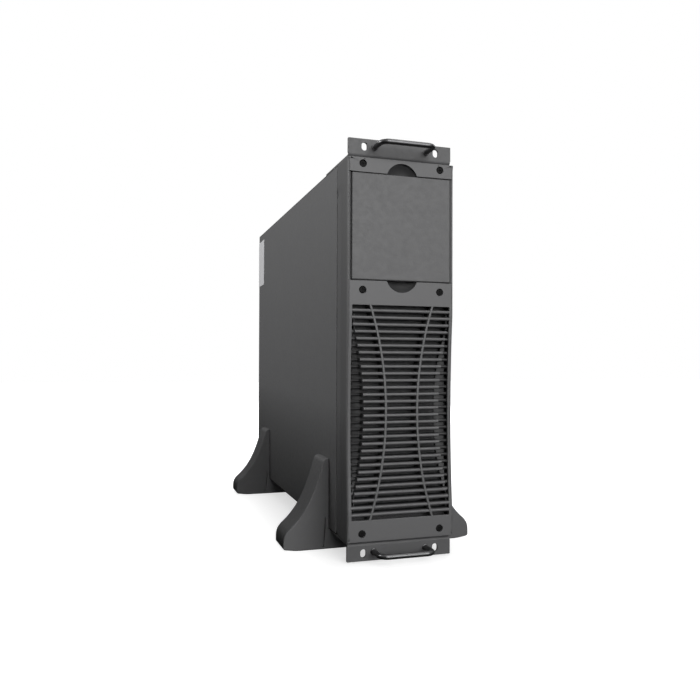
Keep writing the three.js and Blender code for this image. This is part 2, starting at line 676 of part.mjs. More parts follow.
// The lever is drawn in the ON position, tipped up from its pivot.
function breakerLever() {
  const arm = new THREE.BoxGeometry(19, 18, 6).translate(0, 9, 0);
  arm.rotateX(THREE.MathUtils.degToRad(26));
  const barrel = bar("x", 5, BREAKER.x - 9.5, BREAKER.x + 9.5, LEVER_PIVOT, BREAKER.z, 16);
  return solid(arm.translate(BREAKER.x, LEVER_PIVOT, BREAKER.z)).add(barrel);
}

function switchFrame() {
  const well = box(SWITCH.x - 8, SWITCH.x + 8, REAR_FACE - 12, REAR_FACE + 10, SWITCH.z - 13, SWITCH.z + 13);
  return less(panelBody(SWITCH, 2.5, 20), well);
}

// The rocker's outline, seen from the side, pressed at its upper end.
const ROCKER_PIVOT = REAR_FACE - 4;
const ROCKER_TILT = 10;

function switchRocker() {
  const outline = shapeOf([[-5, -5], [4, -10.5], [9, -10.8], [6.2, 0], [9, 10.8], [4, 10.5], [-5, 5]]);
  const body = alongX(outline, -7.5, 7.5);
  return body.rotate([ROCKER_TILT, 0, 0]).translate([SWITCH.x, ROCKER_PIVOT, SWITCH.z]);
}

// An IEC-style outline: a rectangle with two corners cut off on the earth side.
function iecOutline(x, z, w, h, cut) {
  const [a, b] = [w / 2, h / 2];
  return shapeOf([[x - a, z - b], [x + a, z - b], [x + a, z + b - cut], [x + a - cut, z + b],
    [x - a + cut, z + b], [x - a, z + b - cut]]);
}

// A shrouded outlet: a moat round an island, which has three contact slots.
function outletCut(x, z, w, h) {
  const [y0, y1] = [REAR_FACE - 12, REAR_FACE + 8];
  const moat = alongY(iecOutline(x, z, w, h, 5), y0, y1);
  const island = alongY(iecOutline(x, z, w - 7, h - 7, 3.5), y0 - 1, REAR_FACE + 1.2);
  const slots = [[-w / 4, -1.5], [w / 4, -1.5], [0, 2]].map(([dx, dz]) =>
    box(x + dx - 1, x + dx + 1, y0 - 1, y1, z + dz - 2.2, z + dz + 2.2),
  );
  return less(moat, island).add(union(...slots));
}

function outletBlock() {
  const places = [-15, 15].flatMap((dx) => [-17, 17].map((dz) => [OUTLETS.x + dx, OUTLETS.z + dz]));
  return less(panelBody(OUTLETS, 3, 24), ...places.map(([x, z]) => outletCut(x, z, 25, 19)));
}

function largeOutlet() {
  return less(panelBody(LARGE_OUTLET, 3, 24), outletCut(LARGE_OUTLET.x, LARGE_OUTLET.z, 31, 24));
}

// The mains inlet is an open well with three pins standing in it.
function mainsInlet() {
  const { x, z } = INLET;
  const well = alongY(iecOutline(x, z, 32, 26, 5), REAR_FACE - 16, REAR_FACE + 8);
  const pins = [-10, 0, 10].map((dx) =>
    box(x + dx - 1, x + dx + 1, REAR_FACE - 17, REAR_FACE - 1, z - 4, z + 4),
  );
  return less(panelBody(INLET, 3, 24), well).add(union(...pins));
}

// The external battery connector: two keyed pockets, each with a contact.
function batteryConnector() {
  const { x, z } = BATTERY_PORT;
  const pockets = [-12.5, 12.5].map((dz) => box(x - 9, x + 9, REAR_FACE - 12, REAR_FACE + 12, z + dz - 9, z + dz + 9));
  const blades = [-12.5, 12.5].map((dz) => box(x - 5, x + 5, REAR_FACE - 13, REAR_FACE + 4, z + dz - 1.5, z + dz + 1.5));
  return less(panelBody(BATTERY_PORT, 9, 20), ...pockets).add(union(...blades));
}

// A small plate with a serial connector above a square data port.
function commPanel() {
  const { x, z } = COMM;
  const shell = box(x - 6, x + 6, REAR_FACE, REAR_FACE + 7, z - 2, z + 28);
  const serial = box(x - 4.5, x + 4.5, REAR_FACE + 2.5, REAR_FACE + 8, z - 0.5, z + 26.5);
  const port = box(x - 6, x + 6, REAR_FACE - 9, REAR_FACE + 8, z - 24, z - 12);
  const tongue = box(x - 3, x + 3, REAR_FACE - 10, REAR_FACE + 1, z - 20, z - 16);
  return union(less(union(panelBody(COMM, 1.5, 12), shell), serial, port), tongue);
}

function slotCover() {
  const knobs = [-1, 1].map((side) =>
    bar("y", 4.5, REAR_FACE + FIT, REAR_FACE + 7, SLOT_PLATE.x, SLOT_PLATE.z + side * 49, 16),
  );
  return union(slab(SLOT_PLATE, REAR_FACE + FIT, REAR_FACE + FIT + SHEET), ...knobs);
}

function resetterBody() {
  const { x, z, r } = RESETTER;
  const collar = union(
    bar("y", r, REAR_WALL - 22, REAR_FACE + 1, x, z),
    bar("y", r + 3, REAR_FACE + FIT, REAR_FACE + 4, x, z, 6),
  );
  return less(collar, bar("y", 3.6, REAR_FACE - 8, REAR_FACE + 6, x, z, 16));
}

function resetButton() {
  return bar("y", 3.1, REAR_FACE - 6, REAR_FACE + 5.5, RESETTER.x, RESETTER.z, 16);
}

function earthStud() {
  const { x, z } = EARTH;
  return union(
    bar("y", 3, REAR_WALL - 6, REAR_REACH, x, z, 12),
    bar("y", 6, REAR_FACE + FIT, REAR_FACE + FIT + 4.5, x, z, 6),
  );
}

// ---------------------------------------------------------------- the assembly
add("chassis_tub", chassisTub(), CASE_PAINT);
add("side_cover", sideCover(), CASE_PAINT);
add("front_frame", frontFrame(), ZINC);
add("rear_panel", rearPanel(), CASE_PAINT);
add("rating_label", box(-HALF_W - 0.5, -HALF_W - FIT, 498, 548, 124, 206), LABEL);

add("front_bezel", frontBezel(), BEZEL_PLASTIC);
add("display_cover", displayCover(), BEZEL_PLASTIC);
add("dust_filter", dustFilter(), FOAM);
screwPlaces().forEach((place, i) => add(`bezel_screw_${i + 1}`, bezelScrew(place), SCREW_BLACK));

add("rack_ear_upper", rackEar(), EAR_PAINT);
add("rack_ear_lower", mirrorZ(rackEar()), EAR_PAINT);
add("handle_upper", handle(), HANDLE_CHROME);
add("handle_lower", mirrorZ(handle()), HANDLE_CHROME);

for (const [place, y] of Object.entries(FOOT_Y)) {
  const half = less(footHalf(y), earRelief());
  add(`${place}_foot_left`, half, FOOT_PLASTIC);
  add(`${place}_foot_right`, mirrorX(half), FOOT_PLASTIC);
  add(`${place}_foot_spacer`, less(footSpacer(y), earRelief()), FOOT_PLASTIC);
}

add("battery_tray", batteryTray(), ZINC);
BATTERY_Z.flatMap((z) => BATTERY_Y.map((y) => [y, z])).forEach(([y, z], i) =>
  add(`battery_${i + 1}`, battery(y, z), BATTERY_CASE),
);
add("battery_lead_red", batteryLead(62, 160), LEAD_RED);
add("battery_lead_black", batteryLead(40, 145), LEAD_BLACK);
add("bay_divider", bayDivider(), ZINC);
add("power_board", powerBoard(), BOARD);
add("heatsink_rectifier", heatsink(82), HEATSINK);
add("heatsink_inverter", heatsink(-16), HEATSINK);
add("bus_capacitor_1", busCapacitor(318), CAN_SLEEVE);
add("bus_capacitor_2", busCapacitor(374), CAN_SLEEVE);
add("output_choke", outputChoke(), COPPER);
add("control_board", controlBoard(), BOARD);

["upper", "lower"].forEach((place, i) => {
  add(`fan_frame_${place}`, fanFrame(FAN.z[i]), FAN_PLASTIC);
  add(`fan_rotor_${place}`, fanRotor(FAN.z[i]), FAN_PLASTIC);
  add(`fan_guard_${place}`, fanGuard(FAN.z[i]), ZINC);
});
add("breaker_body", breakerBody(), SOCKET_PLASTIC);
add("breaker_lever", breakerLever(), LEVER_PLASTIC);
add("switch_frame", switchFrame(), SOCKET_PLASTIC);
add("switch_rocker", switchRocker(), LEVER_PLASTIC);
add("resetter_body", resetterBody(), ZINC);
add("reset_button", resetButton(), LEVER_PLASTIC);
add("mains_inlet", mainsInlet(), SOCKET_PLASTIC);
add("outlet_block", outletBlock(), SOCKET_PLASTIC);
add("large_outlet", largeOutlet(), SOCKET_PLASTIC);
add("battery_connector", batteryConnector(), LEVER_PLASTIC);
add("comm_panel", commPanel(), ZINC);
add("slot_cover", slotCover(), CASE_PAINT);
add("earth_stud", earthStud(), ZINC);

// Stand the feet on the floor, with the origin in the middle of the footprint.
assembly.position.set(0, (HANDLE_REACH - REAR_REACH) / 2, -FLOOR);
const ups = new THREE.Group();
ups.add(assembly);

export default ups;
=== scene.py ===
"""The finished look of a rack and tower uninterruptible power supply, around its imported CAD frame."""
import math

import bmesh
import bpy
from mathutils import Matrix, Vector
from mathutils.geometry import tessellate_polygon

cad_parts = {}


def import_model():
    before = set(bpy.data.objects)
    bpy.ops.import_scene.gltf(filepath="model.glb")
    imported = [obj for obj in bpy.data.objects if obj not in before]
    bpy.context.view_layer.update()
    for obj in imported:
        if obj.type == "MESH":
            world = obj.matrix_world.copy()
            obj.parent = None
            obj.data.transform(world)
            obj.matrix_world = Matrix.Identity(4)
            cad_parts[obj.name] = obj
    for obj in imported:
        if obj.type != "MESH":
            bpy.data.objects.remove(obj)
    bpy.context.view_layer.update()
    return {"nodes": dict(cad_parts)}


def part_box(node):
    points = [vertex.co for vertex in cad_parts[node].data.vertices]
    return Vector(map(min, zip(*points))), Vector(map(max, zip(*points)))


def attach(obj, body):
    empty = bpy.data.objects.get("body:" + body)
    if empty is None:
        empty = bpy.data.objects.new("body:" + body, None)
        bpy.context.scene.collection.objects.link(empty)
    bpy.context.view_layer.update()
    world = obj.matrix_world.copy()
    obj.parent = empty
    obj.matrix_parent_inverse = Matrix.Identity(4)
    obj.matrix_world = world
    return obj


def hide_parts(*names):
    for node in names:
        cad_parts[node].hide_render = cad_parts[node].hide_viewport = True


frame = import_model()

MM = 0.001
QUARTER = math.pi / 2


def box_mm(node):
    """A CAD node's lowest and highest corners, in millimetres."""
    lo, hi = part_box(node)
    return lo / MM, hi / MM


def middle_of(node):
    """The middle of a CAD node's box seen from the front or the back, as (x, z) in millimetres."""
    lo, hi = box_mm(node)
    return (lo.x + hi.x) / 2, (lo.z + hi.z) / 2


# ---- flat outlines, as lists of (u, v)
def arc(u, v, radius, start, end, count):
    """Points on an arc round (u, v), from one angle to another."""
    angles = [start + (end - start) * i / count for i in range(count + 1)]
    return [(u + radius * math.cos(a), v + radius * math.sin(a)) for a in angles]


def circle(u, v, radius, count=32):
    """A round outline."""
    return arc(u, v, radius, 0, 2 * math.pi, count)[:-1]


def rounded_box(u0, u1, v0, v1, radius, count=5):
    """A rectangle with round corners."""
    r = radius
    centres = [(u1 - r, v1 - r), (u0 + r, v1 - r), (u0 + r, v0 + r), (u1 - r, v0 + r)]
    loop = []
    for k, (u, v) in enumerate(centres):
        loop += arc(u, v, r, k * QUARTER, (k + 1) * QUARTER, count)
    return loop


def oval(u, v, width, height, count=12):
    """An upright slot with half-round ends."""
    r = width / 2
    run = height / 2 - r
    return arc(u, v + run, r, 0, math.pi, count) + arc(u, v - run, r, math.pi, 2 * math.pi, count)


def cross(u, v, reach, half):
    """A plus sign with tapered arms, as on a cross-recessed screw."""
    points = []
    tip = half * 0.8
    for k in range(4):
        turn = Matrix.Rotation(k * QUARTER, 2)
        points += [turn @ Vector(p) for p in ((half, half), (tip, reach), (-tip, reach))]
    return [(u + p.x, v + p.y) for p in points]


def refined(loop, step, corners):
    """The loop with its long edges cut into steps, and with a point at each given v on them."""
    out = []
    clear = 0.05
    for i, a in enumerate(loop):
        b = loop[(i + 1) % len(loop)]
        count = math.ceil(math.dist(a, b) / step)
        shares = {k / count for k in range(count)} or {0}
        for v in corners:
            if min(a[1], b[1]) + clear < v < max(a[1], b[1]) - clear:
                shares.add((v - a[1]) / (b[1] - a[1]))
        out += [(a[0] + (b[0] - a[0]) * t, a[1] + (b[1] - a[1]) * t) for t in sorted(shares)]
    return out


def area(loop):
    """Signed area: more than zero when the loop runs anticlockwise."""
    return sum(a[0] * b[1] - b[0] * a[1] for a, b in zip(loop, loop[1:] + loop[:1])) / 2


def inset(loop, distance):
    """The loop moved to its left by a distance: inwards on an outline, outwards on a hole. At a sharp
    corner the move is longer, up to about three times the distance."""
    sharpest = 0.34
    out = []
    count = len(loop)
    for i in range(count):
        a, b, c = (Vector(loop[(i + k) % count]) for k in (-1, 0, 1))
        n1 = (b - a).normalized().orthogonal() if (b - a).length else Vector((0, 0))
        n2 = (c - b).normalized().orthogonal() if (c - b).length else n1
        middle = n1 + n2
        middle = middle.normalized() if middle.length > 1e-6 else n1
        stretch = 1 / max(sharpest, middle.dot(n1))
        out.append(tuple(b + middle * (distance * stretch)))
    return out


# ---- edge profiles, as lists of (inset, w)
def rounding(near, radius, count):
    """From the near face over a rounded edge on to the side wall; a negative radius goes the other way."""
    r = abs(radius)
    if r < 1e-6:
        return [(0, near)]
    angles = [QUARTER * k / count for k in range(count + 1)]
    return [(r * (1 - math.sin(a)), near + math.copysign(r * (1 - math.cos(a)), radius)) for a in angles]


def through(near, far, r_near, r_far, count=4):
    """Straight through a plate, with both edges rounded."""
    sign = 1 if far > near else -1
    return rounding(near, sign * r_near, count) + rounding(far, -sign * r_far, count)[::-1]


def shell(near, far, radius, wall, thickness, count=6):
    """A lid's rim: down the outside, round the end, and up the inside to the plate's back."""
    cut = 0.4
    end = [(0, far - cut), (cut, far), (wall - cut, far), (wall, far - cut)]
    return rounding(near, radius, count) + end + [(wall, near + thickness)]


AXES = {
    "x": lambda u, v, w: (w, u, v),
    "y": lambda u, v, w: (u, w, v),
    "z": lambda u, v, w: (u, v, w),
}


def plate(axis, outer, holes=(), pockets=()):
    """A closed solid from outlines and their edge profiles. An outline is a pair of a loop and a profile;
    holes go through to the far face, and pockets end in a floor of their own."""
    place = AXES[axis]
    points, faces, near, far = [], [], [], []
    kinds = [("outer", outer)] + [("hole", h) for h in holes] + [("pocket", p) for p in pockets]
    for kind, (loop, profile) in kinds:
        if (area(loop) > 0) == (kind != "outer"):
            loop = loop[::-1]
        rings = []
        for distance, w in profile:
            rings.append(range(len(points), len(points) + len(loop)))
            points += [place(u, v, w) for u, v in inset(loop, distance)]
        for a, b in zip(rings, rings[1:]):
            faces += [(a[i - 1], a[i], b[i], b[i - 1]) for i in range(len(loop))]
        near.append(rings[0])
        if kind == "pocket":
            faces += caps(points, [rings[-1]])
        else:
            far.append(rings[-1])
    return points, faces + caps(points, near) + caps(points, far)


def caps(points, rings):
    """Triangles that fill the first ring, around any others as holes."""
    flat = [i for ring in rings for i in ring]
    triangles = tessellate_polygon([[Vector(points[i]) for i in ring] for ring in rings])
    return [tuple(flat[k] for k in t) for t in triangles]


# ---- other solids
def loft(sections):
    """A closed skin over rings of equal point count."""
    count = len(sections[0])
    points = [tuple(p) for ring in sections for p in ring]
    faces = []
    for k in range(len(sections) - 1):
        a, b = k * count, (k + 1) * count
        faces += [(a + (i - 1) % count, a + i, b + i, b + (i - 1) % count) for i in range(count)]
    first = range(count)
    last = range(len(points) - count, len(points))
    return points, faces + caps(points, [first]) + caps(points, [last])


def tube(path, radius, sides):
    """A round bar along a path, with slightly rounded ends."""
    reach, trim = 0.4, 0.5
    path = [Vector(p) for p in path]
    last = len(path) - 1
    angles = [2 * math.pi * k / sides for k in range(sides)]
    normal = (path[0] - path[1]).normalized().orthogonal().normalized()
    rings = []
    for i, p in enumerate(path):
        ahead = (path[min(i + 1, last)] - path[max(i - 1, 0)]).normalized()
        normal = (normal - ahead * normal.dot(ahead)).normalized()
        side = ahead.cross(normal)
        steps = [(0, radius)]
        if i == 0:
            steps.insert(0, (-reach, radius - trim))
        if i == last:
            steps.append((reach, radius - trim))
        for along, r in steps:
            centre = p + ahead * along
            rings.append([centre + (normal * math.cos(a) + side * math.sin(a)) * r for a in angles])
    return loft(rings)


def lathe(axis, u, v, profile, sides):
    """A turned solid round an axis through (u, v). The profile is a list of (radius, w)."""
    place = AXES[axis]
    return loft([[place(a, b, w) for a, b in circle(u, v, r, sides)] for r, w in profile])


def block(lo, hi, radius):
    """A box with rounded edges."""
    outline = rounded_box(lo[0], hi[0], lo[1], hi[1], radius * 1.5, 3)
    return plate("z", (outline, through(lo[2], hi[2], radius, radius, 3)))


def moved(part, change):
    """The part with each point (x, y, z) put where a function says."""
    points, faces = part
    return [change(*p) for p in points], faces


# ---- objects
def placed(name, data):
    """A new object in the scene that holds the data."""
    item = bpy.data.objects.new(name, data)
    bpy.context.scene.collection.objects.link(item)
    return item


def make(name, parts, material, body="case", stands_for=(), sharp=35):
    """One Blender piece from parts in millimetres, riding on a CAD body."""
    mesh = bpy.data.meshes.new(name)
    points, faces = [], []
    for part_points, part_faces in parts:
        base = len(points)
        points += [Vector(p) * MM for p in part_points]
        faces += [tuple(base + i for i in face) for face in part_faces]
    mesh.from_pydata(points, [], faces)
    clean_up(mesh)
    mesh.shade_smooth()
    mesh.set_sharp_from_angle(angle=math.radians(sharp))
    piece = placed(name, mesh)
    mesh.materials.append(material)
    weigh_normals(piece)
    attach(piece, body)
    if stands_for:
        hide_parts(*stands_for)


def clean_up(mesh):
    """Joins points that coincide, and turns all faces outwards."""
    bm = bmesh.new()
    bm.from_mesh(mesh)
    bmesh.ops.remove_doubles(bm, verts=bm.verts, dist=1e-6)
    bmesh.ops.dissolve_degenerate(bm, edges=bm.edges, dist=1e-7)
    bmesh.ops.recalc_face_normals(bm, faces=bm.faces)
    bm.to_mesh(mesh)
    bm.free()


def weigh_normals(piece):
    """Lets the large faces set the shading of the small rounded edges between them."""
    modifier = piece.modifiers.new("weighted_normals", "WEIGHTED_NORMAL")
    modifier.keep_sharp = True


def dress(material, bevel, *nodes):
    """Gives CAD nodes that stay their material and fine rounded edges."""
    for node in nodes:
        piece = frame["nodes"][node]
        if bevel:
            modifier = piece.modifiers.new("edges", "BEVEL")
            modifier.width = bevel * MM
            modifier.segments = 2
            modifier.limit_method = "ANGLE"
            modifier.angle_limit = math.radians(40)
        piece.data.materials.clear()
        piece.data.materials.append(material)
        piece.data.shade_smooth()
        piece.data.set_sharp_from_angle(angle=math.radians(30))
        weigh_normals(piece)


# ---- materials
def node_tree(name, colour, roughness, metallic=0.0):
    """A new material with its node tree and its shader."""
    material = bpy.data.materials.new(name)
    material.use_nodes = True
    tree = material.node_tree
    shader = tree.nodes["Principled BSDF"]
    shader.inputs["Base Color"].default_value = (*colour, 1)
    shader.inputs["Roughness"].default_value = roughness
    shader.inputs["Metallic"].default_value = metallic
    return material, tree, shader


def own_place(tree):
    """The point that is shaded, in the object's own coordinates."""
    return tree.nodes.new("ShaderNodeTexCoord").outputs["Object"]


def noise(tree, scale, detail, stretch=None):
    """Noise over the object's own coordinates; scale is in features per metre."""
    place = own_place(tree)
    texture = tree.nodes.new("ShaderNodeTexNoise")
    texture.inputs["Scale"].default_value = scale
    texture.inputs["Detail"].default_value = detail
    if stretch:
        mapping = tree.nodes.new("ShaderNodeMapping")
        mapping.inputs["Scale"].default_value = stretch
        tree.links.new(place, mapping.inputs["Vector"])
        place = mapping.outputs["Vector"]
    tree.links.new(place, texture.inputs["Vector"])
    return texture.outputs["Fac"]


def spread(tree, factor, low, high, inner=(0.3, 0.7)):
    """Maps a factor's inner range to a range of values."""
    node = tree.nodes.new("ShaderNodeMapRange")
    for name, value in zip(("From Min", "From Max", "To Min", "To Max"), (*inner, low, high)):
        node.inputs[name].default_value = value
    tree.links.new(factor, node.inputs["Value"])
    return node.outputs["Result"]


def tint(tree, shader, factor, dark, light):
    """Gives the shader a colour between two, by a factor. A mix node's sockets 6 and 7 are its colours."""
    mix = tree.nodes.new("ShaderNodeMix")
    mix.data_type = "RGBA"
    mix.inputs[6].default_value = (*dark, 1)
    mix.inputs[7].default_value = (*light, 1)
    tree.links.new(factor, mix.inputs[0])
    tree.links.new(mix.outputs[2], shader.inputs["Base Color"])


def bump(tree, shader, height, strength, distance):
    """Relief from a height, up to a distance in millimetres."""
    node = tree.nodes.new("ShaderNodeBump")
    node.inputs["Strength"].default_value = strength
    node.inputs["Distance"].default_value = distance * MM
    tree.links.new(height, node.inputs["Height"])
    tree.links.new(node.outputs["Normal"], shader.inputs["Normal"])


def grey(level):
    """A grey with a touch of blue, like the whole object's."""
    return (level, level, level * 1.02)


MOTTLE_SCALE = 35
GLOSS_SCALE = 180
GRAIN_STRENGTH = 0.35


def textured(name, colour, roughness, grain, depth, mottle=0.05, metallic=0.0, specular=0.5):
    """A painted or moulded surface: fine grain, with its features per metre and its depth in millimetres, a
    soft mottle in tone, and uneven gloss."""
    material, tree, shader = node_tree(name, colour, roughness, metallic)
    shader.inputs["Specular IOR Level"].default_value = specular
    cloud = spread(tree, noise(tree, MOTTLE_SCALE, 4), 0, 1)
    tint(tree, shader, cloud, [c * (1 - mottle) for c in colour], [c * (1 + mottle) for c in colour])
    gloss = spread(tree, noise(tree, GLOSS_SCALE, 2), roughness - 0.05, roughness + 0.05)
    tree.links.new(gloss, shader.inputs["Roughness"])
    bump(tree, shader, noise(tree, grain, 2), GRAIN_STRENGTH, depth)
    return material


CASE_PAINT = textured("case_powder_coat", grey(0.122), 0.50, 1800, 0.03, 0.015)
EAR_PAINT = textured("ear_powder_coat", grey(0.092), 0.54, 1800, 0.03, 0.02)
BEZEL_GREY = grey(0.112)
BEZEL_GRAIN = 2200
BEZEL_PLASTIC = textured("bezel_moulded_plastic", BEZEL_GREY, 0.55, BEZEL_GRAIN, 0.03, 0.015)
DARK_BAND_GREY = textured("side_band_dark_grey", grey(0.082), 0.6, BEZEL_GRAIN, 0.03, 0.02)
FOOT_PLASTIC = textured("foot_moulded_plastic", grey(0.104), 0.58, 1800, 0.04, 0.02)
HANDLE_CHROME = textured("handle_dark_chrome", grey(0.13), 0.34, 900, 0.01, 0.04, 0.9)
SCREW_BLACK = textured("screw_black_oxide", grey(0.005), 0.6, 900, 0.02, 0.2, 0.0, 0.15)


def painted_recess_shade(name, near, far, rest):
    """The bezel's plastic with painted shade: its grey darkens between two depths to the share given as
    rest.
    """
    material, tree, shader = node_tree(name, BEZEL_GREY, 0.5)
    split = tree.nodes.new("ShaderNodeSeparateXYZ")
    tree.links.new(own_place(tree), split.inputs["Vector"])
    depth = spread(tree, split.outputs["Y"], 0, 1, (near * MM, far * MM))
    tint(tree, shader, depth, BEZEL_GREY, [c * rest for c in BEZEL_GREY])
    bump(tree, shader, noise(tree, BEZEL_GRAIN, 2), GRAIN_STRENGTH, 0.03)
    return material


def foam():
    """Open-celled filter foam: dark pits between lighter cell walls."""
    material, tree, shader = node_tree("filter_foam", grey(0.006), 0.95)
    cells = tree.nodes.new("ShaderNodeTexVoronoi")
    cells.inputs["Scale"].default_value = 1100
    tree.links.new(own_place(tree), cells.inputs["Vector"])
    pits = cells.outputs["Distance"]
    tint(tree, shader, pits, grey(0.045), grey(0.12))
    bump(tree, shader, pits, 0.8, 0.4)
    return material


FOAM = foam()
LABEL_FILM = textured("label_film", grey(0.68), 0.42, 600, 0.01, 0.02)
# painted shade: a black band in the seam round the side sheet, where the seam's shade falls
SEAM_PAINTED_SHADE = textured("seam_painted_shade", grey(0.012), 0.8, 900, 0.05)

ZINC = textured("zinc_plated_sheet", grey(0.42), 0.36, 700, 0.02, 0.10, 0.9)
FAN_PLASTIC = textured("fan_moulded_plastic", grey(0.011), 0.42, 1500, 0.04)
SOCKET_PLASTIC = textured("socket_moulded_plastic", grey(0.010), 0.40, 1500, 0.03)
LEVER_PLASTIC = textured("lever_moulded_plastic", grey(0.028), 0.34, 1500, 0.03)
BATTERY_CASE = textured("battery_case_plastic", (0.024, 0.026, 0.029), 0.45, 1200, 0.06)
CAN_SLEEVE = textured("capacitor_sleeve", (0.012, 0.026, 0.107), 0.22, 600, 0.01)
LEAD_RED = textured("lead_red_silicone", (0.37, 0.008, 0.008), 0.38, 900, 0.02)
LEAD_BLACK = textured("lead_black_silicone", grey(0.006), 0.38, 900, 0.02)
HEATSINK = textured("extruded_aluminium", grey(0.42), 0.34, 900, 0.02, 0.05, 0.9)


def circuit_board():
    """Green solder mask with fine traces that stand a little proud of it."""
    material, tree, shader = node_tree("circuit_board", (0.014, 0.10, 0.037), 0.35)
    traces = spread(tree, noise(tree, 260, 1, (1, 1, 0.08)), 0, 1, (0.48, 0.52))
    tint(tree, shader, traces, (0.012, 0.085, 0.031), (0.022, 0.13, 0.05))
    bump(tree, shader, traces, 0.5, 0.05)
    return material


def winding():
    """Enamelled copper wire, wound side by side."""
    material, tree, shader = node_tree("copper_winding", (0.35, 0.12, 0.027), 0.32, 0.7)
    bands = tree.nodes.new("ShaderNodeTexWave")
    bands.wave_type = "BANDS"
    bands.bands_direction = "DIAGONAL"
    bands.inputs["Scale"].default_value = 220
    bands.inputs["Distortion"].default_value = 0.6
    tree.links.new(own_place(tree), bands.inputs["Vector"])
    turns = bands.outputs["Fac"]
    tint(tree, shader, turns, (0.20, 0.06, 0.012), (0.42, 0.15, 0.035))
    bump(tree, shader, turns, 0.8, 0.4)
    return material


CIRCUIT_BOARD = circuit_board()
WINDING = winding()

# ---- places taken from the frame
BEZEL_LO, BEZEL_HI = box_mm("front_bezel")
COVER_LO, COVER_HI = box_mm("display_cover")
FRONT = BEZEL_LO.y
BAY_MID = (COVER_LO.z + COVER_HI.z) / 2
COVER_HALF = (COVER_HI.z - COVER_LO.z) / 2
BEZEL_HALF = BEZEL_HI.x
CASE_LO, CASE_HI = box_mm("side_cover")
TUB_LO, TUB_HI = box_mm("chassis_tub")
MIDDLE = (CASE_LO.z + CASE_HI.z) / 2

# ---- front bezel
# painted shade: these plastics darken in their recesses, between two depths behind the front's plane
LOUVRE_PAINTED_SHADE = painted_recess_shade("louvre_painted_shade", FRONT + 1.5, FRONT + 6.5, 0.22)
RIB_PAINTED_SHADE = painted_recess_shade("rib_painted_shade", FRONT + 2, FRONT + 10, 0.5)
UPPER_NOTCH_PAINTED_SHADE = painted_recess_shade("upper_notch_painted_shade", FRONT + 0.5, FRONT + 6, 0.36)
# the lower bowl's painted shade starts in front of the face and runs darker than the upper bowl's
LOWER_NOTCH_PAINTED_SHADE = painted_recess_shade("lower_notch_painted_shade", FRONT - 6, FRONT + 4, 0.33)
BODY_PAINTED_SHADE = painted_recess_shade("bezel_shell_painted_shade", FRONT + 1.5, FRONT + 8, 0.72)
STEP = 5  # no straight run of the bezel's outlines is longer, so that they can follow its bends
PLATE = 3.0  # the front's own thickness
BEZEL_WALL = 2.5
BEZEL_CORNER = 1.2
EDGE_ROUND = 2.6
CRISP = 0.35  # what is left of the rounding along the top and bottom edges
RIM = 5.8  # the side rims beside the louvres
# the side walls draw in towards the case, below a height
TAPER_START = 25
TAPER_DEPTH = 1.5
TAPER_TOP = MIDDLE + 192
TAPER_FADE = 12
# the bay, its grooves and its finger notches
BAY_HALF = COVER_HALF + 0.7
BAY_SIDE = COVER_HALF + 0.55
BAY_EASE = 0.5  # the grooves fade in over this much on either side of the bay's ends
BAY_DEPTH = 13.5
BAY_WINDOW = 40
GROOVE = (0.4, 4.6)
GROOVE_SLOPE = 0.8
NOTCH_HALF = 18.5
NOTCH_RISE = 13
NOTCH_DEPTH = 9
NOTCH_R = (NOTCH_HALF ** 2 + NOTCH_RISE ** 2) / (2 * NOTCH_RISE)
BOWL_R = (NOTCH_R ** 2 + NOTCH_DEPTH ** 2) / (2 * NOTCH_DEPTH)
BOWL_CENTRE = FRONT + PLATE + NOTCH_DEPTH - BOWL_R
# the grille
PITCH = 8.0
SLOTS = 31
SLOT_GAP = 4.2
GRILLE_TOP = MIDDLE + 48  # the uppermost slot's middle
GRILLE_MID = GRILLE_TOP - (SLOTS - 1) * PITCH / 2
GRILLE_HALF = (SLOTS - 1) * PITCH / 2 + SLOT_GAP / 2
SLOT_HALF = 60.2
LOUVRE_DEPTH = 14.4
# the hourglass: the ribs' and the scoops' shared curve, and their half widths at the waist
CURVE = 400
RIB_WAIST = 19.3
RIB_WIDTH = 2.8
RIB_PROUD = 0.35
WING_WAIST = 46.5
# the scoops: half height, depth at the outer edge and at the inner one, and the web behind them
WING_HALF = 112
WING_LIP = 4.8
WING_STEP = 11.6
WING_FLOOR = 2.6
SCREW_X = 47.8
SCREW_Z = [MIDDLE + 211.4, MIDDLE + 67.3, MIDDLE - 209.2]
WELL_R = 4.4
WELL_DEPTH = 2.8


def bow(z):
    """How far the hourglass curves have moved out from the waist at height z."""
    return CURVE - math.sqrt(CURVE ** 2 - (z - GRILLE_MID) ** 2)


def share(z):
    """How much of the side scoop's depth is left at height z: all at the waist, none at its ends."""
    if abs(z - GRILLE_MID) >= WING_HALF:
        return 0.0
    return 1 - bow(z) / bow(GRILLE_MID + WING_HALF)


def scoop(x, z):
    """Depth of the bezel's front below its plane."""
    inner = WING_WAIST + bow(z)
    if abs(x) < inner:
        return 0.0
    t = max(0.0, min(1.0, 1 - (abs(x) - inner) / (BEZEL_HALF - inner)))
    return share(z) * (WING_LIP + (WING_STEP - WING_LIP) * math.sin(t * QUARTER))


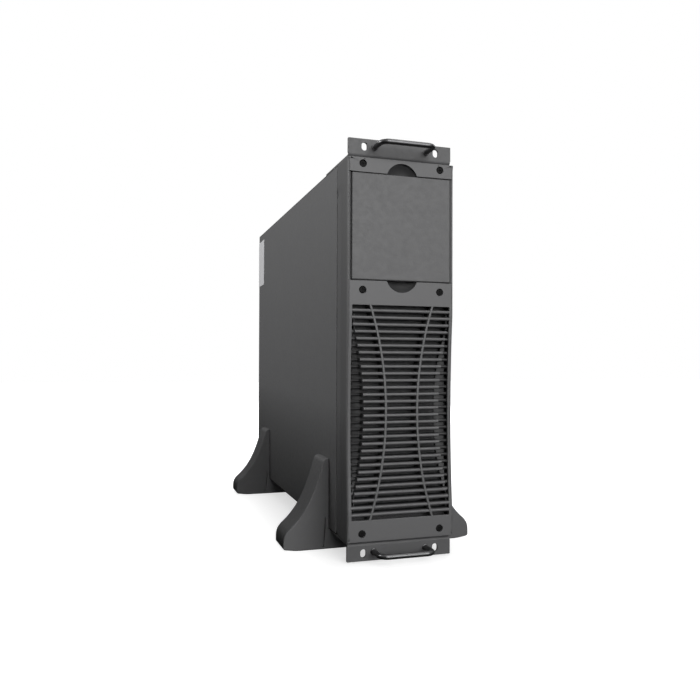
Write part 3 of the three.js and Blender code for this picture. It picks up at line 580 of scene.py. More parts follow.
def recess_rims(x, y, z):
    """Cuts the side rims back in a curve beside the louvres, slopes them down into a groove beside the
    cover, tapers the side walls towards the case, and keeps the top and bottom edges crisp."""
    inward = BEZEL_HALF - abs(x)
    below = min(BEZEL_HI.z - z, z - BEZEL_LO.z)
    if y <= FRONT + EDGE_ROUND and below < EDGE_ROUND:
        rise = BEZEL_HI.z if z > MIDDLE else BEZEL_LO.z
        return (x, FRONT + (y - FRONT) * CRISP, rise + (z - rise) * CRISP)
    if y <= FRONT + PLATE + 0.01:
        beside = max(0.0, min(1.0, BAY_HALF + BAY_EASE - abs(z - BAY_MID)))
        if beside > 0 and GROOVE[0] < inward < GROOVE[1]:
            y += beside * GROOVE_SLOPE * (inward - GROOVE[0])
        elif inward < RIM:
            y += share(z) * WING_LIP
    elif inward < 0.5 and y > FRONT + TAPER_START:
        fade = max(0.0, min(1.0, (TAPER_TOP - z) / TAPER_FADE))
        reach = (y - FRONT - TAPER_START) / (BEZEL_HI.y - FRONT - TAPER_START)
        x -= math.copysign(TAPER_DEPTH * fade * reach, x)
    return (x, y, z)


def bay_outline():
    """The square bay with two half-round finger notches. Its lower half is the upper one, turned round."""
    w, h, r = BAY_SIDE, BAY_HALF, 0.6
    swing = math.asin(NOTCH_HALF / NOTCH_R)
    half = arc(w - r, h - r, r, 0, QUARTER, 2)
    half += arc(0, h + NOTCH_RISE - NOTCH_R, NOTCH_R, QUARTER - swing, QUARTER + swing, 28)
    half += arc(-w + r, h - r, r, QUARTER, 2 * QUARTER, 2)
    return [(s * u, BAY_MID + s * v) for s in (1, -1) for u, v in half]


def notch_bowl(side):
    """The scooped shell behind a finger notch, from its rim back to the bay's wall."""
    edge = BAY_MID + side * BAY_HALF
    centre = Vector((0, BOWL_CENTRE, edge + side * (NOTCH_RISE - NOTCH_R)))
    swing = math.asin(NOTCH_HALF / NOTCH_R)
    rows, columns, wall = 12, 28, 1.5
    inside, outside = [], []
    for i in range(rows + 1):
        for k in range(columns + 1):
            a = QUARTER - swing + 2 * swing * k / columns
            rim = Vector((NOTCH_R * math.cos(a), 0, side * NOTCH_R * math.sin(a)))
            chord = Vector((rim.x, 0, edge - centre.z))
            p = rim.lerp(chord, i / rows)
            for skin, radius in ((inside, BOWL_R), (outside, BOWL_R + wall)):
                y = math.sqrt(max(0, radius ** 2 - p.x ** 2 - p.z ** 2))
                skin.append((p.x, centre.y + y, centre.z + p.z))
    width = columns + 1
    base = len(inside)
    faces = []
    for i in range(rows):
        for a in range(i * width, i * width + columns):
            quad = (a, a + 1, a + 1 + width, a + width)
            faces += [quad, tuple(base + q for q in quad)]
    for i in range(rows):
        for a in (i * width, i * width + columns):
            faces.append((a, a + width, base + a + width, base + a))
    for k in range(columns):
        for a in (k, rows * width + k):
            faces.append((a, a + 1, base + a + 1, base + a))
    return inside + outside, faces


def bezel_body():
    """The moulded front and its four walls, with the bay, the grille's opening and the screws' wells."""
    ends = [GRILLE_MID + s * WING_HALF for s in (-1, 1)]
    bends = [TAPER_TOP - TAPER_FADE, TAPER_TOP]
    bends += [BAY_MID + s * (BAY_HALF + d) for s in (-1, 1) for d in (-BAY_EASE, BAY_EASE)]
    outline = rounded_box(-BEZEL_HALF, BEZEL_HALF, BEZEL_LO.z, BEZEL_HI.z, BEZEL_CORNER)
    rim = shell(FRONT, BEZEL_HI.y, EDGE_ROUND, BEZEL_WALL, PLATE)
    corner = len(rounding(FRONT, EDGE_ROUND, 6))
    rim.insert(corner, (0, FRONT + TAPER_START))
    grille = rounded_box(-SLOT_HALF, SLOT_HALF, GRILLE_MID - GRILLE_HALF, GRILLE_MID + GRILLE_HALF, 0.8)
    holes = [(refined(bay_outline(), STEP, bends), through(FRONT, FRONT + PLATE, 0.25, 0)),
             (refined(grille, STEP, ends), through(FRONT, FRONT + PLATE, 0.5, 0))]
    wells = [(circle(x, z, WELL_R), rounding(FRONT, 0.3, 3) + [(0, FRONT + WELL_DEPTH)])
             for x in (-SCREW_X, SCREW_X) for z in SCREW_Z]
    flat = plate("y", (refined(outline, STEP, ends + bends), rim), holes, wells)
    return moved(flat, recess_rims)


def bay_tray():
    """The square tray behind the cover: four walls and a floor with a window in it."""
    w, h, wall = BAY_SIDE, BAY_HALF, 1.2
    near, deep = FRONT + PLATE - 0.2, FRONT + PLATE + 2.4
    floor, back = FRONT + BAY_DEPTH, FRONT + BAY_DEPTH + 2
    lip = h + 1.5
    outline = rounded_box(-w - wall, w + wall, BAY_MID - lip, BAY_MID + lip, 1)
    window = rounded_box(-BAY_WINDOW, BAY_WINDOW, BAY_MID - BAY_WINDOW, BAY_MID + BAY_WINDOW, 4)
    parts = [plate("y", (outline, through(floor, back, 0, 0.4)), [(window, through(floor, back, 0.6, 0.4))])]
    for s in (-1, 1):
        x0, x1 = sorted((s * w, s * (w + wall)))
        parts.append(block((x0, deep, BAY_MID - lip), (x1, floor + 0.5, BAY_MID + lip), 0.1))
        ledge = [(-w, near)] + bowl_edge() + [(w, near), (w, floor + 0.5), (-w, floor + 0.5)]
        parts.append(plate("z", (ledge, [(0, BAY_MID + s * h), (0, BAY_MID + s * lip)])))
    return parts


def bowl_edge():
    """Where the finger bowls end against the bay's walls, as a curve of (x, y) just behind them."""
    chord = NOTCH_R - NOTCH_RISE
    steps = [NOTCH_HALF * (k / 12 - 1) for k in range(25)]
    return [(x, BOWL_CENTRE + math.sqrt(BOWL_R ** 2 - x ** 2 - chord ** 2) + 0.2) for x in steps]


def edge_strip(side):
    """A thin band of darker grey set into the tapered side wall, with a slanted upper end."""
    slant = 10
    front, back = FRONT + TAPER_START + 1, BEZEL_HI.y - 0.4
    low, high = BEZEL_LO.z + 4, TAPER_TOP - 2
    loop = [(front, low), (back, low), (back, high - slant), (front, high)]
    outer = side * (BEZEL_HALF - 0.35)
    inner = side * (BEZEL_HALF - 2.2)
    return plate("x", (loop, through(outer, inner, 0.2, 0, 2)))


def louvre(z):
    """One bar across the grille, its half-round nose following the scooped front."""
    half = (PITCH - SLOT_GAP) / 2
    back = FRONT + LOUVRE_DEPTH
    reach = BEZEL_HALF - 1.2
    inner = WING_WAIST + bow(z)
    count = 52
    xs = {round(-reach + 2 * reach * k / count, 3) for k in range(count + 1)}
    if share(z) > 0:
        xs |= {s * (inner + d) for s in (-1, 1) for d in (-0.35, 0.05)}
    sections = []
    for x in sorted(xs):
        y = FRONT + scoop(x, z)
        nose = arc(y + half, z, half, QUARTER, 3 * QUARTER, 8)
        sections.append([(x, p[0], p[1]) for p in nose + [(back, z - half), (back, z + half)]])
    return loft(sections)


def wing_floor(side):
    """The solid web behind the louvres in a side scoop; the slots are open only along its outer edge."""
    rows, columns = 40, 6
    back = FRONT + LOUVRE_DEPTH
    outer = SLOT_HALF - 2.6
    sections = []
    for k in range(rows + 1):
        z = GRILLE_MID - WING_HALF + 2 * WING_HALF * k / rows
        inner = min(WING_WAIST + bow(z), outer) - 0.5
        face = []
        for i in range(columns + 1):
            x = inner + (outer - inner) * i / columns
            face.append((x, min(FRONT + scoop(x + 0.6, z) + WING_FLOOR, back - 0.9)))
        ring = face + [(x, back - 0.1) for x, _ in reversed(face)]
        sections.append([(side * x, y, z) for x, y in ring])
    return loft(sections)


def rib(side):
    """A curved tie across the louvres, a little proud of them."""
    count = 60
    back = FRONT + LOUVRE_DEPTH
    reach = GRILLE_HALF + 0.8
    w, r = RIB_WIDTH / 2, 0.7
    y = FRONT - RIB_PROUD + r
    sections = []
    for k in range(count + 1):
        z = GRILLE_MID - reach + 2 * reach * k / count
        x = side * (RIB_WAIST + bow(z))
        ring = arc(x - w + r, y, r, 2 * QUARTER, 3 * QUARTER, 3)
        ring += arc(x + w - r, y, r, 3 * QUARTER, 4 * QUARTER, 3) + [(x + w, back), (x - w, back)]
        sections.append([(u, v, z) for u, v in ring])
    return loft(sections)


def front_bezel():
    """The bezel's pieces, whose plastics differ in how much shade is painted into their recesses."""
    bars = [louvre(GRILLE_TOP - PITCH * (k + 0.5)) for k in range(SLOTS - 1)]
    boss_r, bore_r, back = 5.5, 2.4, BEZEL_HI.y - 1
    bosses = [lathe("y", x, z, [(boss_r, FRONT + 2.5), (boss_r, back), (bore_r, back)], 20)
              for x in (-SCREW_X, SCREW_X) for z in SCREW_Z]
    make("bezel_moulding", [bezel_body()] + bay_tray() + bosses, BODY_PAINTED_SHADE,
         stands_for=["front_bezel"], sharp=30)
    make("bezel_grille", bars + [wing_floor(1), wing_floor(-1)], LOUVRE_PAINTED_SHADE, sharp=30)
    make("grille_ribs", [rib(1), rib(-1)], RIB_PAINTED_SHADE, sharp=30)
    make("bezel_edge_strips", [edge_strip(-1), edge_strip(1)], DARK_BAND_GREY)
    make("finger_notch_upper", [notch_bowl(1)], UPPER_NOTCH_PAINTED_SHADE)
    make("finger_notch_lower", [notch_bowl(-1)], LOWER_NOTCH_PAINTED_SHADE)


def square_cover():
    """The blank cover, a shallow lid with an open back."""
    h = COVER_HALF
    edge, wall, thickness = 1.3, 2.0, 2.5
    outline = rounded_box(-h, h, BAY_MID - h, BAY_MID + h, 1.2, 4)
    lid = plate("y", (outline, shell(COVER_LO.y, COVER_HI.y, edge, wall, thickness)))
    make("blank_square_cover", [lid], BEZEL_PLASTIC, "cover", ["display_cover"])


def cross_screw(axis, u, v, near, radius, height):
    """A pan-head screw with a cross recess, seen from the near side."""
    head = (circle(u, v, radius, 28), rounding(near, radius * 0.3, 5) + [(0, near + height)])
    recess = (cross(u, v, radius * 0.55, radius * 0.14), [(0, near), (radius * 0.05, near + height * 0.6)])
    return plate(axis, head, [], [recess])


def bezel_screws():
    """The six screws, each a head in its well and a shank with a blunt tip."""
    head_r, shank_r, tip_r = 4.0, 2, 1.4
    for i in range(6):
        node = f"bezel_screw_{i + 1}"
        lo, hi = box_mm(node)
        x, z = middle_of(node)
        head = cross_screw("y", x, z, lo.y + 0.2, head_r, 2.0)
        shank = lathe("y", x, z, [(shank_r, lo.y + 1.6), (shank_r, hi.y - 0.6), (tip_r, hi.y)], 16)
        make(f"bezel_screw_black_{i + 1}", [head, shank], SCREW_BLACK, stands_for=[node])


# ---- rack ears and handles
SLOT_X = 44.45
SLOT_LINE = 232.55
SLOT_SIZE = (6.8, 9.4)
EAR_SHEET = 3.0
EAR_BEND = 4.6
HANDLE_LIFT = 1.2


def rack_ear(side, node):
    """A folded ear: a slotted plate, a bend, and a flange that lies on the case."""
    lo, hi = box_mm(node)
    half = -TUB_LO.x + 0.3
    flange = -TUB_LO.x - 0.2
    round_off = 0.3
    fold, tip = (lo.z, hi.z) if side > 0 else (hi.z, lo.z)
    outline = rounded_box(-half, half, *sorted((fold + side * EAR_BEND, tip)), 0.8)
    cut = through(lo.y, lo.y + EAR_SHEET, 0.25, 0.25, 2)
    slots = [(oval(x, MIDDLE + side * SLOT_LINE, *SLOT_SIZE), cut) for x in (-SLOT_X, SLOT_X)]
    front = plate("y", (outline, through(lo.y, lo.y + EAR_SHEET, round_off, round_off, 3)), slots)
    near = lo.y - 0.02
    far = hi.y
    inner = EAR_BEND - EAR_SHEET
    profile = arc(near + EAR_BEND, EAR_BEND, EAR_BEND, 2 * QUARTER, 3 * QUARTER, 8)
    profile += [(far - round_off, 0), (far, round_off)]
    profile += [(far, EAR_SHEET - round_off), (far - round_off, EAR_SHEET)]
    profile += arc(near + EAR_BEND, EAR_BEND, inner, 3 * QUARTER, 2 * QUARTER, 4)
    profile += [(near + EAR_SHEET, EAR_BEND + 0.8), (near, EAR_BEND + 0.8)]
    loop = [(u, fold + side * v) for u, v in profile]
    bend = plate("x", (loop, through(-flange, flange, round_off, round_off, 3)))
    make(f"{node}_sheet", [front, bend], EAR_PAINT, stands_for=[node])


def handle(node, lift):
    """A round bar bent twice, with a small collar at each foot; lift is its height above its CAD node."""
    lo, hi = box_mm(node)
    radius, bend = 3.0, 9
    z = (lo.z + hi.z) / 2 + lift
    x = hi.x - 5
    out = lo.y + radius
    back = hi.y - 0.2
    path = [(-x, back), (-x, out + bend + 4)]
    path += arc(-x + bend, out + bend, bend, 2 * QUARTER, 3 * QUARTER, 10)
    path += arc(x - bend, out + bend, bend, 3 * QUARTER, 4 * QUARTER, 10)
    path += [(x, out + bend + 4), (x, back)]
    bar = tube([(u, v, z) for u, v in path], radius, 24)
    collar = [(3.1, back - 0.8), (3.5, back - 0.6), (3.7, back - 0.3), (3.7, back)]
    collars = [lathe("y", s * x, z, collar, 28) for s in (-1, 1)]
    make(f"{node}_bar", [bar] + collars, HANDLE_CHROME, stands_for=[node])


# ---- feet
def foot_outline(side, lo, hi):
    """Half a foot seen from the front: a flared fin beside the case, and a base under it."""
    wall = -TUB_HI.x - 0.3
    tip = -max(abs(lo.x), abs(hi.x))
    inner = -min(abs(lo.x), abs(hi.x))
    base = TUB_LO.z - 0.3
    top = hi.z
    crest, shoulder = (wall - 0.6, top), (wall - 8, top - 5)
    flare, edge = (tip + 6.5, top - 84), (tip, top - 100)
    toe, sole = (tip + 3.5, 1.9), (tip + 22, 0)
    loop = [(inner, 0), (inner, base), (wall, base), (wall, top - 1.5)]
    loop += curve(crest, (wall - 5, top - 0.4), (wall - 6.6, top - 1.2), shoulder, 7)
    loop += curve(shoulder, (wall - 15.5, top - 30.5), (wall - 24, top - 62.5), flare, 24)[1:]
    loop += curve(flare, (tip + 2.4, top - 88.4), (tip, top - 92), edge, 8)[1:]
    loop += curve((tip, 5), (tip, 3), (tip + 1.5, 2.2), toe, 4)
    loop += curve(toe, (tip + 10, 1.2), (tip + 14, 0), sole, 5)[1:]
    return loop if side < 0 else [(-u, v) for u, v in loop]


def curve(a, b, c, d, count):
    """Points on a cubic curve."""
    a, b, c, d = (Vector(p) for p in (a, b, c, d))
    steps = [(1 - k / count, k / count) for k in range(count + 1)]
    return [tuple(a * s ** 3 + b * 3 * s * s * t + c * 3 * s * t * t + d * t ** 3) for s, t in steps]


def foot(node):
    """One solid foot, with a shallow wedge let into its front."""
    lo, hi = box_mm(node)
    side = -1 if lo.x < 0 else 1
    wedge = [(side * u, v) for u, v in ((72.0, 3), (75.5, 3), (71.0, 38), (69.6, 38))]
    groove = (wedge, [(0, lo.y), (0.3, lo.y + 4)])
    body = plate("y", (foot_outline(side, lo, hi), through(lo.y, hi.y, 1.3, 1.3, 5)), [], [groove])
    make(f"{node}_fin", [body], FOOT_PLASTIC, stands_for=[node])


def feet():
    """Two feet and the spacer that joins them, in front and behind."""
    for end in ("front", "rear"):
        for hand in ("left", "right"):
            foot(f"{end}_foot_{hand}")
        dress(FOOT_PLASTIC, 0.6, f"{end}_foot_spacer")


# ---- case
def side_panel():
    """The removable side sheet, set a little inside a black band along the top and the rear edge; the band
    is painted shade in the seam.
    """
    lo, hi = box_mm("side_cover")
    gap, lap = 1.5, 2
    edge = rounded_box(lo.y, hi.y - gap, lo.z + gap, hi.z - gap, 1.5)
    sheet = plate("x", (edge, through(lo.x, hi.x, 0.4, 0.1, 3)))
    make("side_cover_sheet", [sheet], CASE_PAINT, stands_for=["side_cover"])
    # the black band behind the sheet's edges is painted shade in the seam
    face = lo.x + 0.45
    outer = rounded_box(lo.y + 0.3, hi.y - 0.1, lo.z + 0.1, hi.z - 0.1, 1)
    inner = rounded_box(lo.y + 3, hi.y - gap - lap, lo.z + gap + lap, hi.z - gap - lap, 1)
    seam_shade_band = plate("x", (outer, through(face, hi.x, 0.2, 0.1, 2)), [(inner, through(face, hi.x, 0, 0, 1))])
    make("side_cover_seam_shade", [seam_shade_band], SEAM_PAINTED_SHADE)


def rating_label():
    """A thin blank film on the side cover."""
    lo, hi = box_mm("rating_label")
    sheet = plate("x", (rounded_box(lo.y, hi.y, lo.z, hi.z, 2), through(lo.x, hi.x, 0.05, 0.0, 1)))
    make("blank_rating_label", [sheet], LABEL_FILM, stands_for=["rating_label"])


# ---- rear panel
REAR_LO, REAR_HI = box_mm("rear_panel")
REAR_FACE = REAR_HI.y
PANEL_SHEET = 1.5
PORT_FLANGE = 2.4  # how far a port's flange laps over its hole
SLOT_FLANGE = 4
RESETTER_HOLE = 6.2
STUD_HOLE = 3.2
REAR_SCREW_X = 58
FAN_BORE = 38.0
FAN_HUB = 18.0
FAN_BLADES = 7
FAN_HOLES = 35.75
GUARD_RINGS = (9, 19, 29, 38)
EYE_R = 3.4


def cut_out(node, step_in):
    """The hole behind a panel part's flange, a little smaller than the flange."""
    lo, hi = box_mm(node)
    edges = rounded_box(lo.x + step_in, hi.x - step_in, lo.z + step_in, hi.z - step_in, 0.6, 3)
    return edges, through(REAR_FACE, REAR_FACE - PANEL_SHEET, 0.2, 0.2, 2)


def rear_sheet():
    """The folded rear panel with its openings."""
    lo, hi = REAR_LO, REAR_HI
    inside = REAR_FACE - PANEL_SHEET
    edge = through(REAR_FACE, inside, 0.3, 0.3, 3)
    holes = [(circle(*middle_of(f"fan_frame_{end}"), FAN_BORE, 72), edge) for end in ("upper", "lower")]
    ports = ("comm_panel", "battery_connector", "breaker_body", "switch_frame",
             "outlet_block", "large_outlet", "mains_inlet")
    holes += [cut_out(node, PORT_FLANGE) for node in ports] + [cut_out("slot_cover", SLOT_FLANGE)]
    holes.append((circle(*middle_of("resetter_body"), RESETTER_HOLE, 28), edge))
    holes.append((circle(*middle_of("earth_stud"), STUD_HOLE, 20), edge))
    sheet = plate("y", (rounded_box(lo.x, hi.x, lo.z, hi.z, 1.5), edge), holes)
    t = PANEL_SHEET
    folds = [block((lo.x, lo.y, z), (hi.x, inside + 0.6, z + t), 0.3) for z in (lo.z, hi.z - t)]
    folds += [block((x, lo.y, lo.z + 2), (x + t, inside + 0.6, hi.z - 2), 0.3) for x in (lo.x, hi.x - t)]
    make("rear_panel_sheet", [sheet] + folds, CASE_PAINT, stands_for=["rear_panel"])


def rear_screws():
    """Small screws down both edges of the rear panel; one upper corner has none."""
    x = REAR_SCREW_X
    places = [(-x, MIDDLE - 210), (x, MIDDLE - 210), (x, MIDDLE + 210)]
    places += [(s * x, MIDDLE + z) for s in (-1, 1) for z in (88, 8, -80)]
    heads = [cross_screw("y", x, z, REAR_FACE + 1.9, 3.0, -2.0) for x, z in places]
    make("rear_panel_screws", heads, SCREW_BLACK)


def fan_frame(node):
    """A square fan housing with a round duct, and four struts that hold the motor disc."""
    lo, hi = box_mm(node)
    x, z = middle_of(node)
    screw_r = 2.2
    near, far = lo.y, hi.y
    holes = [(circle(x, z, FAN_BORE, 72), through(near, far, 1.5, 0.6, 4))]
    holes += [(circle(u, v, screw_r, 16), through(near, far, 0.3, 0.3, 2)) for u, v in fan_corners(x, z)]
    square = rounded_box(lo.x, hi.x, lo.z, hi.z, 5, 6)
    parts = [plate("y", (square, through(near, far, 0.5, 0.5, 3)), holes)]
    disc = [(16.4, far - 4), (17, far - 3.4), (17, far - 1.0), (16, far - 0.3), (15, far - 0.3),
            (14.6, far - 0.7)]
    parts.append(lathe("y", x, z, disc, 48))
    for k in range(4):
        turn = Matrix.Rotation(k * QUARTER, 2)
        strut = [turn @ Vector(p) for p in ((14, -2), (39, -1.6), (39, 1.6), (14, 2))]
        loop = [(x + p.x, z + p.y) for p in strut]
        parts.append(plate("y", (loop, through(far - 4, far - 0.4, 0.4, 0.6, 3))))
    make(f"{node}_moulding", parts, FAN_PLASTIC, stands_for=[node])


def fan_corners(x, z):
    """The places of a fan's four screws."""
    return [(x + s * FAN_HOLES, z + t * FAN_HOLES) for s in (-1, 1) for t in (-1, 1)]


def fan_blade(x, z, y, angle):
    """A twisted blade, thin at its edges, from the hub to just inside the duct. It leans 50 degrees at its
    root and 38 at its tip, and its chord grows from 18 to 21."""
    count = 8
    root, tip = FAN_HUB - 1, FAN_BORE - 1.7
    sections = []
    for i in range(count + 1):
        r = root + (tip - root) * i / count
        lean = math.radians(50 - 12 * i / count)
        chord = 18 + 3 * i / count
        upper, lower = [], []
        for k in range(count + 1):
            s = k / count - 0.5
            bulge = 1 - (2 * s) ** 2
            for side, row in ((1, upper), (-1, lower)):
                off = 1.6 * bulge + side * (0.25 + 0.7 * bulge)
                along = s * chord * math.cos(lean) + off * math.sin(lean)
                axial = -s * chord * math.sin(lean) + off * math.cos(lean)
                turn = angle - along / r
                row.append((x + r * math.cos(turn), y + axial, z - r * math.sin(turn)))
        sections.append(upper + lower[::-1])
    return loft(sections)


def fan_rotor(node, body):
    """A capped hub with its blades."""
    lo, hi = box_mm(node)
    x, z = middle_of(node)
    near, far = lo.y, hi.y
    hub = [(14.5, near + 0.6), (15, near), (16.4, near), (17.5, near + 0.5), (FAN_HUB, near + 1.6),
           (FAN_HUB, far - 0.5), (17.5, far)]
    y = (near + far) / 2 - 0.8
    blades = [fan_blade(x, z, y, 2 * math.pi * k / FAN_BLADES) for k in range(FAN_BLADES)]
    parts = [lathe("y", x, z, hub, 56)] + blades
    make(f"{node}_moulding", parts, FAN_PLASTIC, body, [node], 40)


def wire_ring(x, z, y, radius, wire, count=64, sides=10):
    """A closed ring of round wire."""
    points, faces = [], []
    for k in range(count):
        turn = 2 * math.pi * k / count
        for r, rise in circle(radius, 0, wire, sides):
            points.append((x + r * math.cos(turn), y + rise, z + r * math.sin(turn)))
        a, b = k * sides, ((k + 1) % count) * sides
        faces += [(a + j, a + (j + 1) % sides, b + (j + 1) % sides, b + j) for j in range(sides)]
    return points, faces


def fan_guard(node):
    """A finger guard of round wire, with an eye at each corner for the fan's screws."""
    lo, hi = box_mm(node)
    x, z = middle_of(node)
    y = (lo.y + hi.y) / 2
    wire = (hi.y - lo.y) / 2
    parts = [wire_ring(x, z, y, r, wire) for r in GUARD_RINGS]
    reach = FAN_HOLES - 2.2
    for rise in (-reach, reach):
        parts.append(tube([(x - reach, y, z - rise), (x, y, z), (x + reach, y, z + rise)], wire, 12))
    parts += [wire_ring(u, v, y, EYE_R, wire, 28) for u, v in fan_corners(x, z)]
    make(f"{node}_wire", parts, ZINC, stands_for=[node], sharp=50)
    heads = [cross_screw("y", u, v, hi.y + 1.2, 3.0, -2.6) for u, v in fan_corners(x, z)]
    make(f"{node}_screws", heads, SCREW_BLACK)


def slot_plate():
    """The blank plate over the communication slot, held by two knurled thumb screws."""
    lo, hi = box_mm("slot_cover")
    x = (lo.x + hi.x) / 2
    face = REAR_FACE + 0.05
    top = face + PANEL_SHEET
    edge = rounded_box(lo.x, hi.x, lo.z, hi.z, 1.2)
    sheet = plate("y", (edge, through(top, face, 0.3, 0.1, 3)))
    make("slot_cover_sheet", [sheet], CASE_PAINT, stands_for=["slot_cover"])
    knobs = []
    for z in (lo.z + 7, hi.z - 7):
        knurl = circle(x, z, 4.5, 48)
        knurl[1::2] = circle(x, z, 4.2, 48)[1::2]
        recess = (cross(x, z, 2.4, 0.5), [(0, hi.y), (0.1, hi.y - 1.2)])
        knobs.append(plate("y", (knurl, through(hi.y, top + 0.6, 0.5, 0.3, 3)), [], [recess]))
        knobs.append(lathe("y", x, z, [(3.2, top - 0.1), (3.2, top + 0.8)], 24))
    make("slot_thumb_screws", knobs, ZINC, sharp=25)


def port_posts():
    """The two threaded posts beside the serial connector, each six-sided with a bore."""
    x, z = middle_of("comm_panel")
    face = REAR_FACE + 1.4
    tip = face + 4.2
    posts = []
    for v in (z - 5.2, z + 29.2):
        bore = (circle(x, v, 1.1, 14), [(0, tip), (0, face + 1.5)])
        posts.append(plate("y", (circle(x, v, 2.1, 6), through(tip, face, 0.3, 0, 2)), [], [bore]))
    make("serial_posts", posts, ZINC, sharp=25)


def rear_parts():
    """All that is seen on the back."""
    rear_sheet()
    rear_screws()
    for end in ("upper", "lower"):
        fan_frame(f"fan_frame_{end}")
        fan_rotor(f"fan_rotor_{end}", f"{end}_rotor")
        fan_guard(f"fan_guard_{end}")
    slot_plate()
    port_posts()
    dress(SOCKET_PLASTIC, 0.35, "breaker_body", "switch_frame", "mains_inlet", "outlet_block")
    dress(SOCKET_PLASTIC, 0.35, "large_outlet")
    dress(LEVER_PLASTIC, 0.5, "breaker_lever", "switch_rocker", "reset_button", "battery_connector")
    dress(ZINC, 0.2, "comm_panel", "resetter_body", "earth_stud")


# ---- inside
def inside_parts():
    """The CAD nodes behind the panels, with their materials."""
    dress(ZINC, 0.2, "front_frame", "battery_tray", "bay_divider")
    dress(BATTERY_CASE, 1.0, *(f"battery_{i + 1}" for i in range(6)))
    dress(LEAD_RED, 0, "battery_lead_red")
    dress(LEAD_BLACK, 0, "battery_lead_black")
    dress(CIRCUIT_BOARD, 0.1, "power_board", "control_board")
    dress(HEATSINK, 0.3, "heatsink_rectifier", "heatsink_inverter")
    dress(CAN_SLEEVE, 1.2, "bus_capacitor_1", "bus_capacitor_2")
    dress(WINDING, 0, "output_choke")


# ---- stage, lights and camera
CAMERA_PLACE = (-0.30198, -1.01630, 0.23049)
CAMERA_YAW = 0.31031
CAMERA_PITCH = 0.01411
CAMERA_ROLL = 0.00333
CAMERA_LENS = 35.77


def camera():
    """The camera, turned by its yaw from +Y, then its pitch, then its roll."""
    flat = math.cos(CAMERA_PITCH)
    forward = Vector((math.sin(CAMERA_YAW) * flat, math.cos(CAMERA_YAW) * flat, math.sin(CAMERA_PITCH)))
    level = Vector((math.cos(CAMERA_YAW), -math.sin(CAMERA_YAW), 0))
    upright = level.cross(forward)
    right = level * math.cos(CAMERA_ROLL) + upright * math.sin(CAMERA_ROLL)
    up = upright * math.cos(CAMERA_ROLL) - level * math.sin(CAMERA_ROLL)
    data = bpy.data.cameras.new("camera")
    data.lens = CAMERA_LENS
    data.sensor_width = 36
    eye = placed("camera", data)
    turn = Matrix((right, up, -forward)).transposed().to_4x4()
    eye.matrix_world = Matrix.Translation(CAMERA_PLACE) @ turn
    bpy.context.scene.camera = eye


def vector_step(tree, operation, source, other=(0, 0, 0)):
    """One vector operation on a source; LENGTH gives a number."""
    node = tree.nodes.new("ShaderNodeVectorMath")
    node.operation = operation
    node.inputs[1].default_value = other
    tree.links.new(source, node.inputs[0])
    return node.outputs["Value" if operation == "LENGTH" else "Vector"]


# in metres: half the patch of floor that glows least, a painted shadow under the object, and how far that
# painted shadow fades out round it
PAINTED_SHADOW_HALF = (0.06, 0.26, 0)
PAINTED_SHADOW_FADE = 0.09
FLOOR_GLOW = (0.62, 1.0)
DOME = 0.68


def sheet_object(name, corners, material):
    """A flat four-cornered stage object that other surfaces don't mirror."""
    mesh = bpy.data.meshes.new(name)
    mesh.from_pydata(corners, [], [(0, 1, 2, 3)])
    mesh.materials.append(material)
    item = placed(name, mesh)
    item.visible_glossy = False
    return item


def floor():
    """A white floor that glows less under the object, painting a soft shadow there."""
    material, tree, shader = node_tree("studio_white", (0.5, 0.5, 0.5), 0.9)
    shader.inputs["Specular IOR Level"].default_value = 0
    shader.inputs["Emission Color"].default_value = (1, 1, 1, 1)
    aside = vector_step(tree, "SUBTRACT", vector_step(tree, "ABSOLUTE", own_place(tree)), PAINTED_SHADOW_HALF)
    distance = vector_step(tree, "LENGTH", vector_step(tree, "MAXIMUM", aside))
    glow = spread(tree, distance, *FLOOR_GLOW, (0, PAINTED_SHADOW_FADE))
    tree.links.new(glow, shader.inputs["Emission Strength"])
    half = 6
    corners = [(-half, -half, 0), (half, -half, 0), (half, half, 0), (-half, half, 0)]
    plane = sheet_object("floor", corners, material)
    plane.visible_diffuse = False


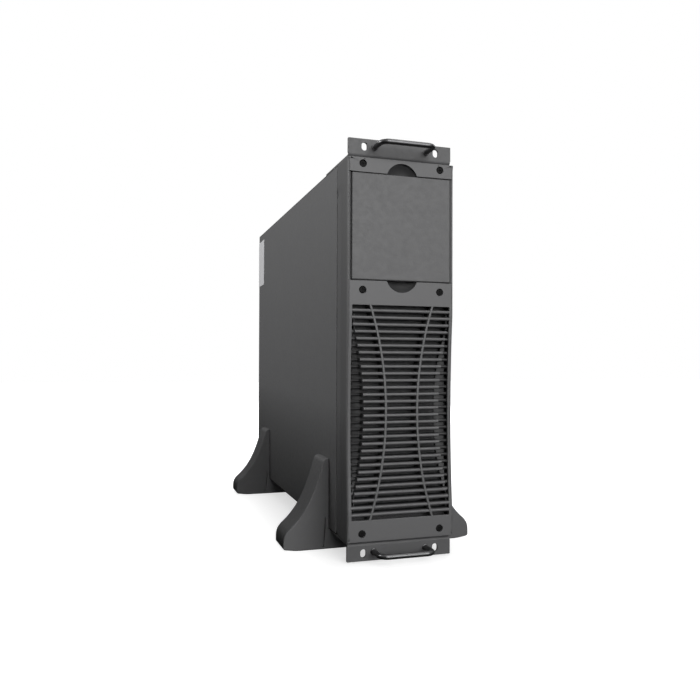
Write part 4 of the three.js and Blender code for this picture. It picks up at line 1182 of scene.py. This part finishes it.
def world():
    """White behind the object, and a soft dome that is brighter above than below."""
    dome = bpy.data.worlds.new("studio")
    dome.use_nodes = True
    tree = dome.node_tree
    back = tree.nodes["Background"]
    back.inputs["Color"].default_value = (1, 1, 1, 1)
    light = tree.nodes.new("ShaderNodeBackground")
    place = tree.nodes.new("ShaderNodeTexCoord")
    split = tree.nodes.new("ShaderNodeSeparateXYZ")
    height = spread(tree, split.outputs["Z"], 0.0, DOME, (-0.05, 0.9))
    path = tree.nodes.new("ShaderNodeLightPath")
    mix = tree.nodes.new("ShaderNodeMixShader")
    tree.links.new(place.outputs["Generated"], split.inputs["Vector"])
    tree.links.new(height, light.inputs["Strength"])
    tree.links.new(path.outputs["Is Camera Ray"], mix.inputs["Fac"])
    tree.links.new(light.outputs["Background"], mix.inputs[1])
    tree.links.new(back.outputs["Background"], mix.inputs[2])
    tree.links.new(mix.outputs["Shader"], tree.nodes["World Output"].inputs["Surface"])
    bpy.context.scene.world = dome


def flag(x, near, far, rise_near, rise_far):
    """A black card beside the object that shades the foot of its left side."""
    corners = [(x, near, 0), (x, far, 0), (x, far, rise_far), (x, near, rise_near)]
    card = sheet_object("flag", corners, node_tree("flag_black", (0, 0, 0), 1.0)[0])
    card.visible_camera = False


def lamp(name, place, target, size, power):
    """A soft box at a place, turned to a target, with its power in watts."""
    data = bpy.data.lights.new(name, "AREA")
    data.shape = "RECTANGLE"
    data.size, data.size_y = size
    data.energy = power
    light = placed(name, data)
    light.location = place
    light.rotation_euler = (Vector(target) - Vector(place)).to_track_quat("-Z", "Y").to_euler()
    light.visible_camera = False
    return light


def studio():
    """The floor, the dome, five soft boxes and the card. The ceiling's light only shows as a sheen."""
    world()
    floor()
    lamp("front", (0.3, -2.35, 1.0), (0, -0.27, 0.27), (2.0, 1.5), 41)
    lamp("bounce", (0.35, -1.9, 0.04), (0, -0.27, 0.36), (1.2, 0.6), 2.6)
    lamp("side", (-1.25, 0.3, 0.95), (-0.06, 0.05, 0.42), (0.9, 0.7), 13)
    flag(-0.3, -0.47, 0.63, 0.25, 0.275)
    lamp("rear", (1.0, 1.9, 1.2), (0.05, 0.25, 0.25), (1.8, 1.4), 46)
    ceiling = lamp("ceiling", (0.4, -0.45, 1.35), (0.4, -0.45, 0), (0.9, 0.9), 3)
    ceiling.visible_diffuse = False
    bpy.context.scene.view_settings.view_transform = "Standard"


# ---- build
camera()
front_bezel()
square_cover()
bezel_screws()
rack_ear(1, "rack_ear_upper")
rack_ear(-1, "rack_ear_lower")
handle("handle_upper", HANDLE_LIFT)
handle("handle_lower", 0)
feet()
side_panel()
dress(CASE_PAINT, 0.4, "chassis_tub")
rating_label()
dress(FOAM, 0.3, "dust_filter")
rear_parts()
inside_parts()
studio()
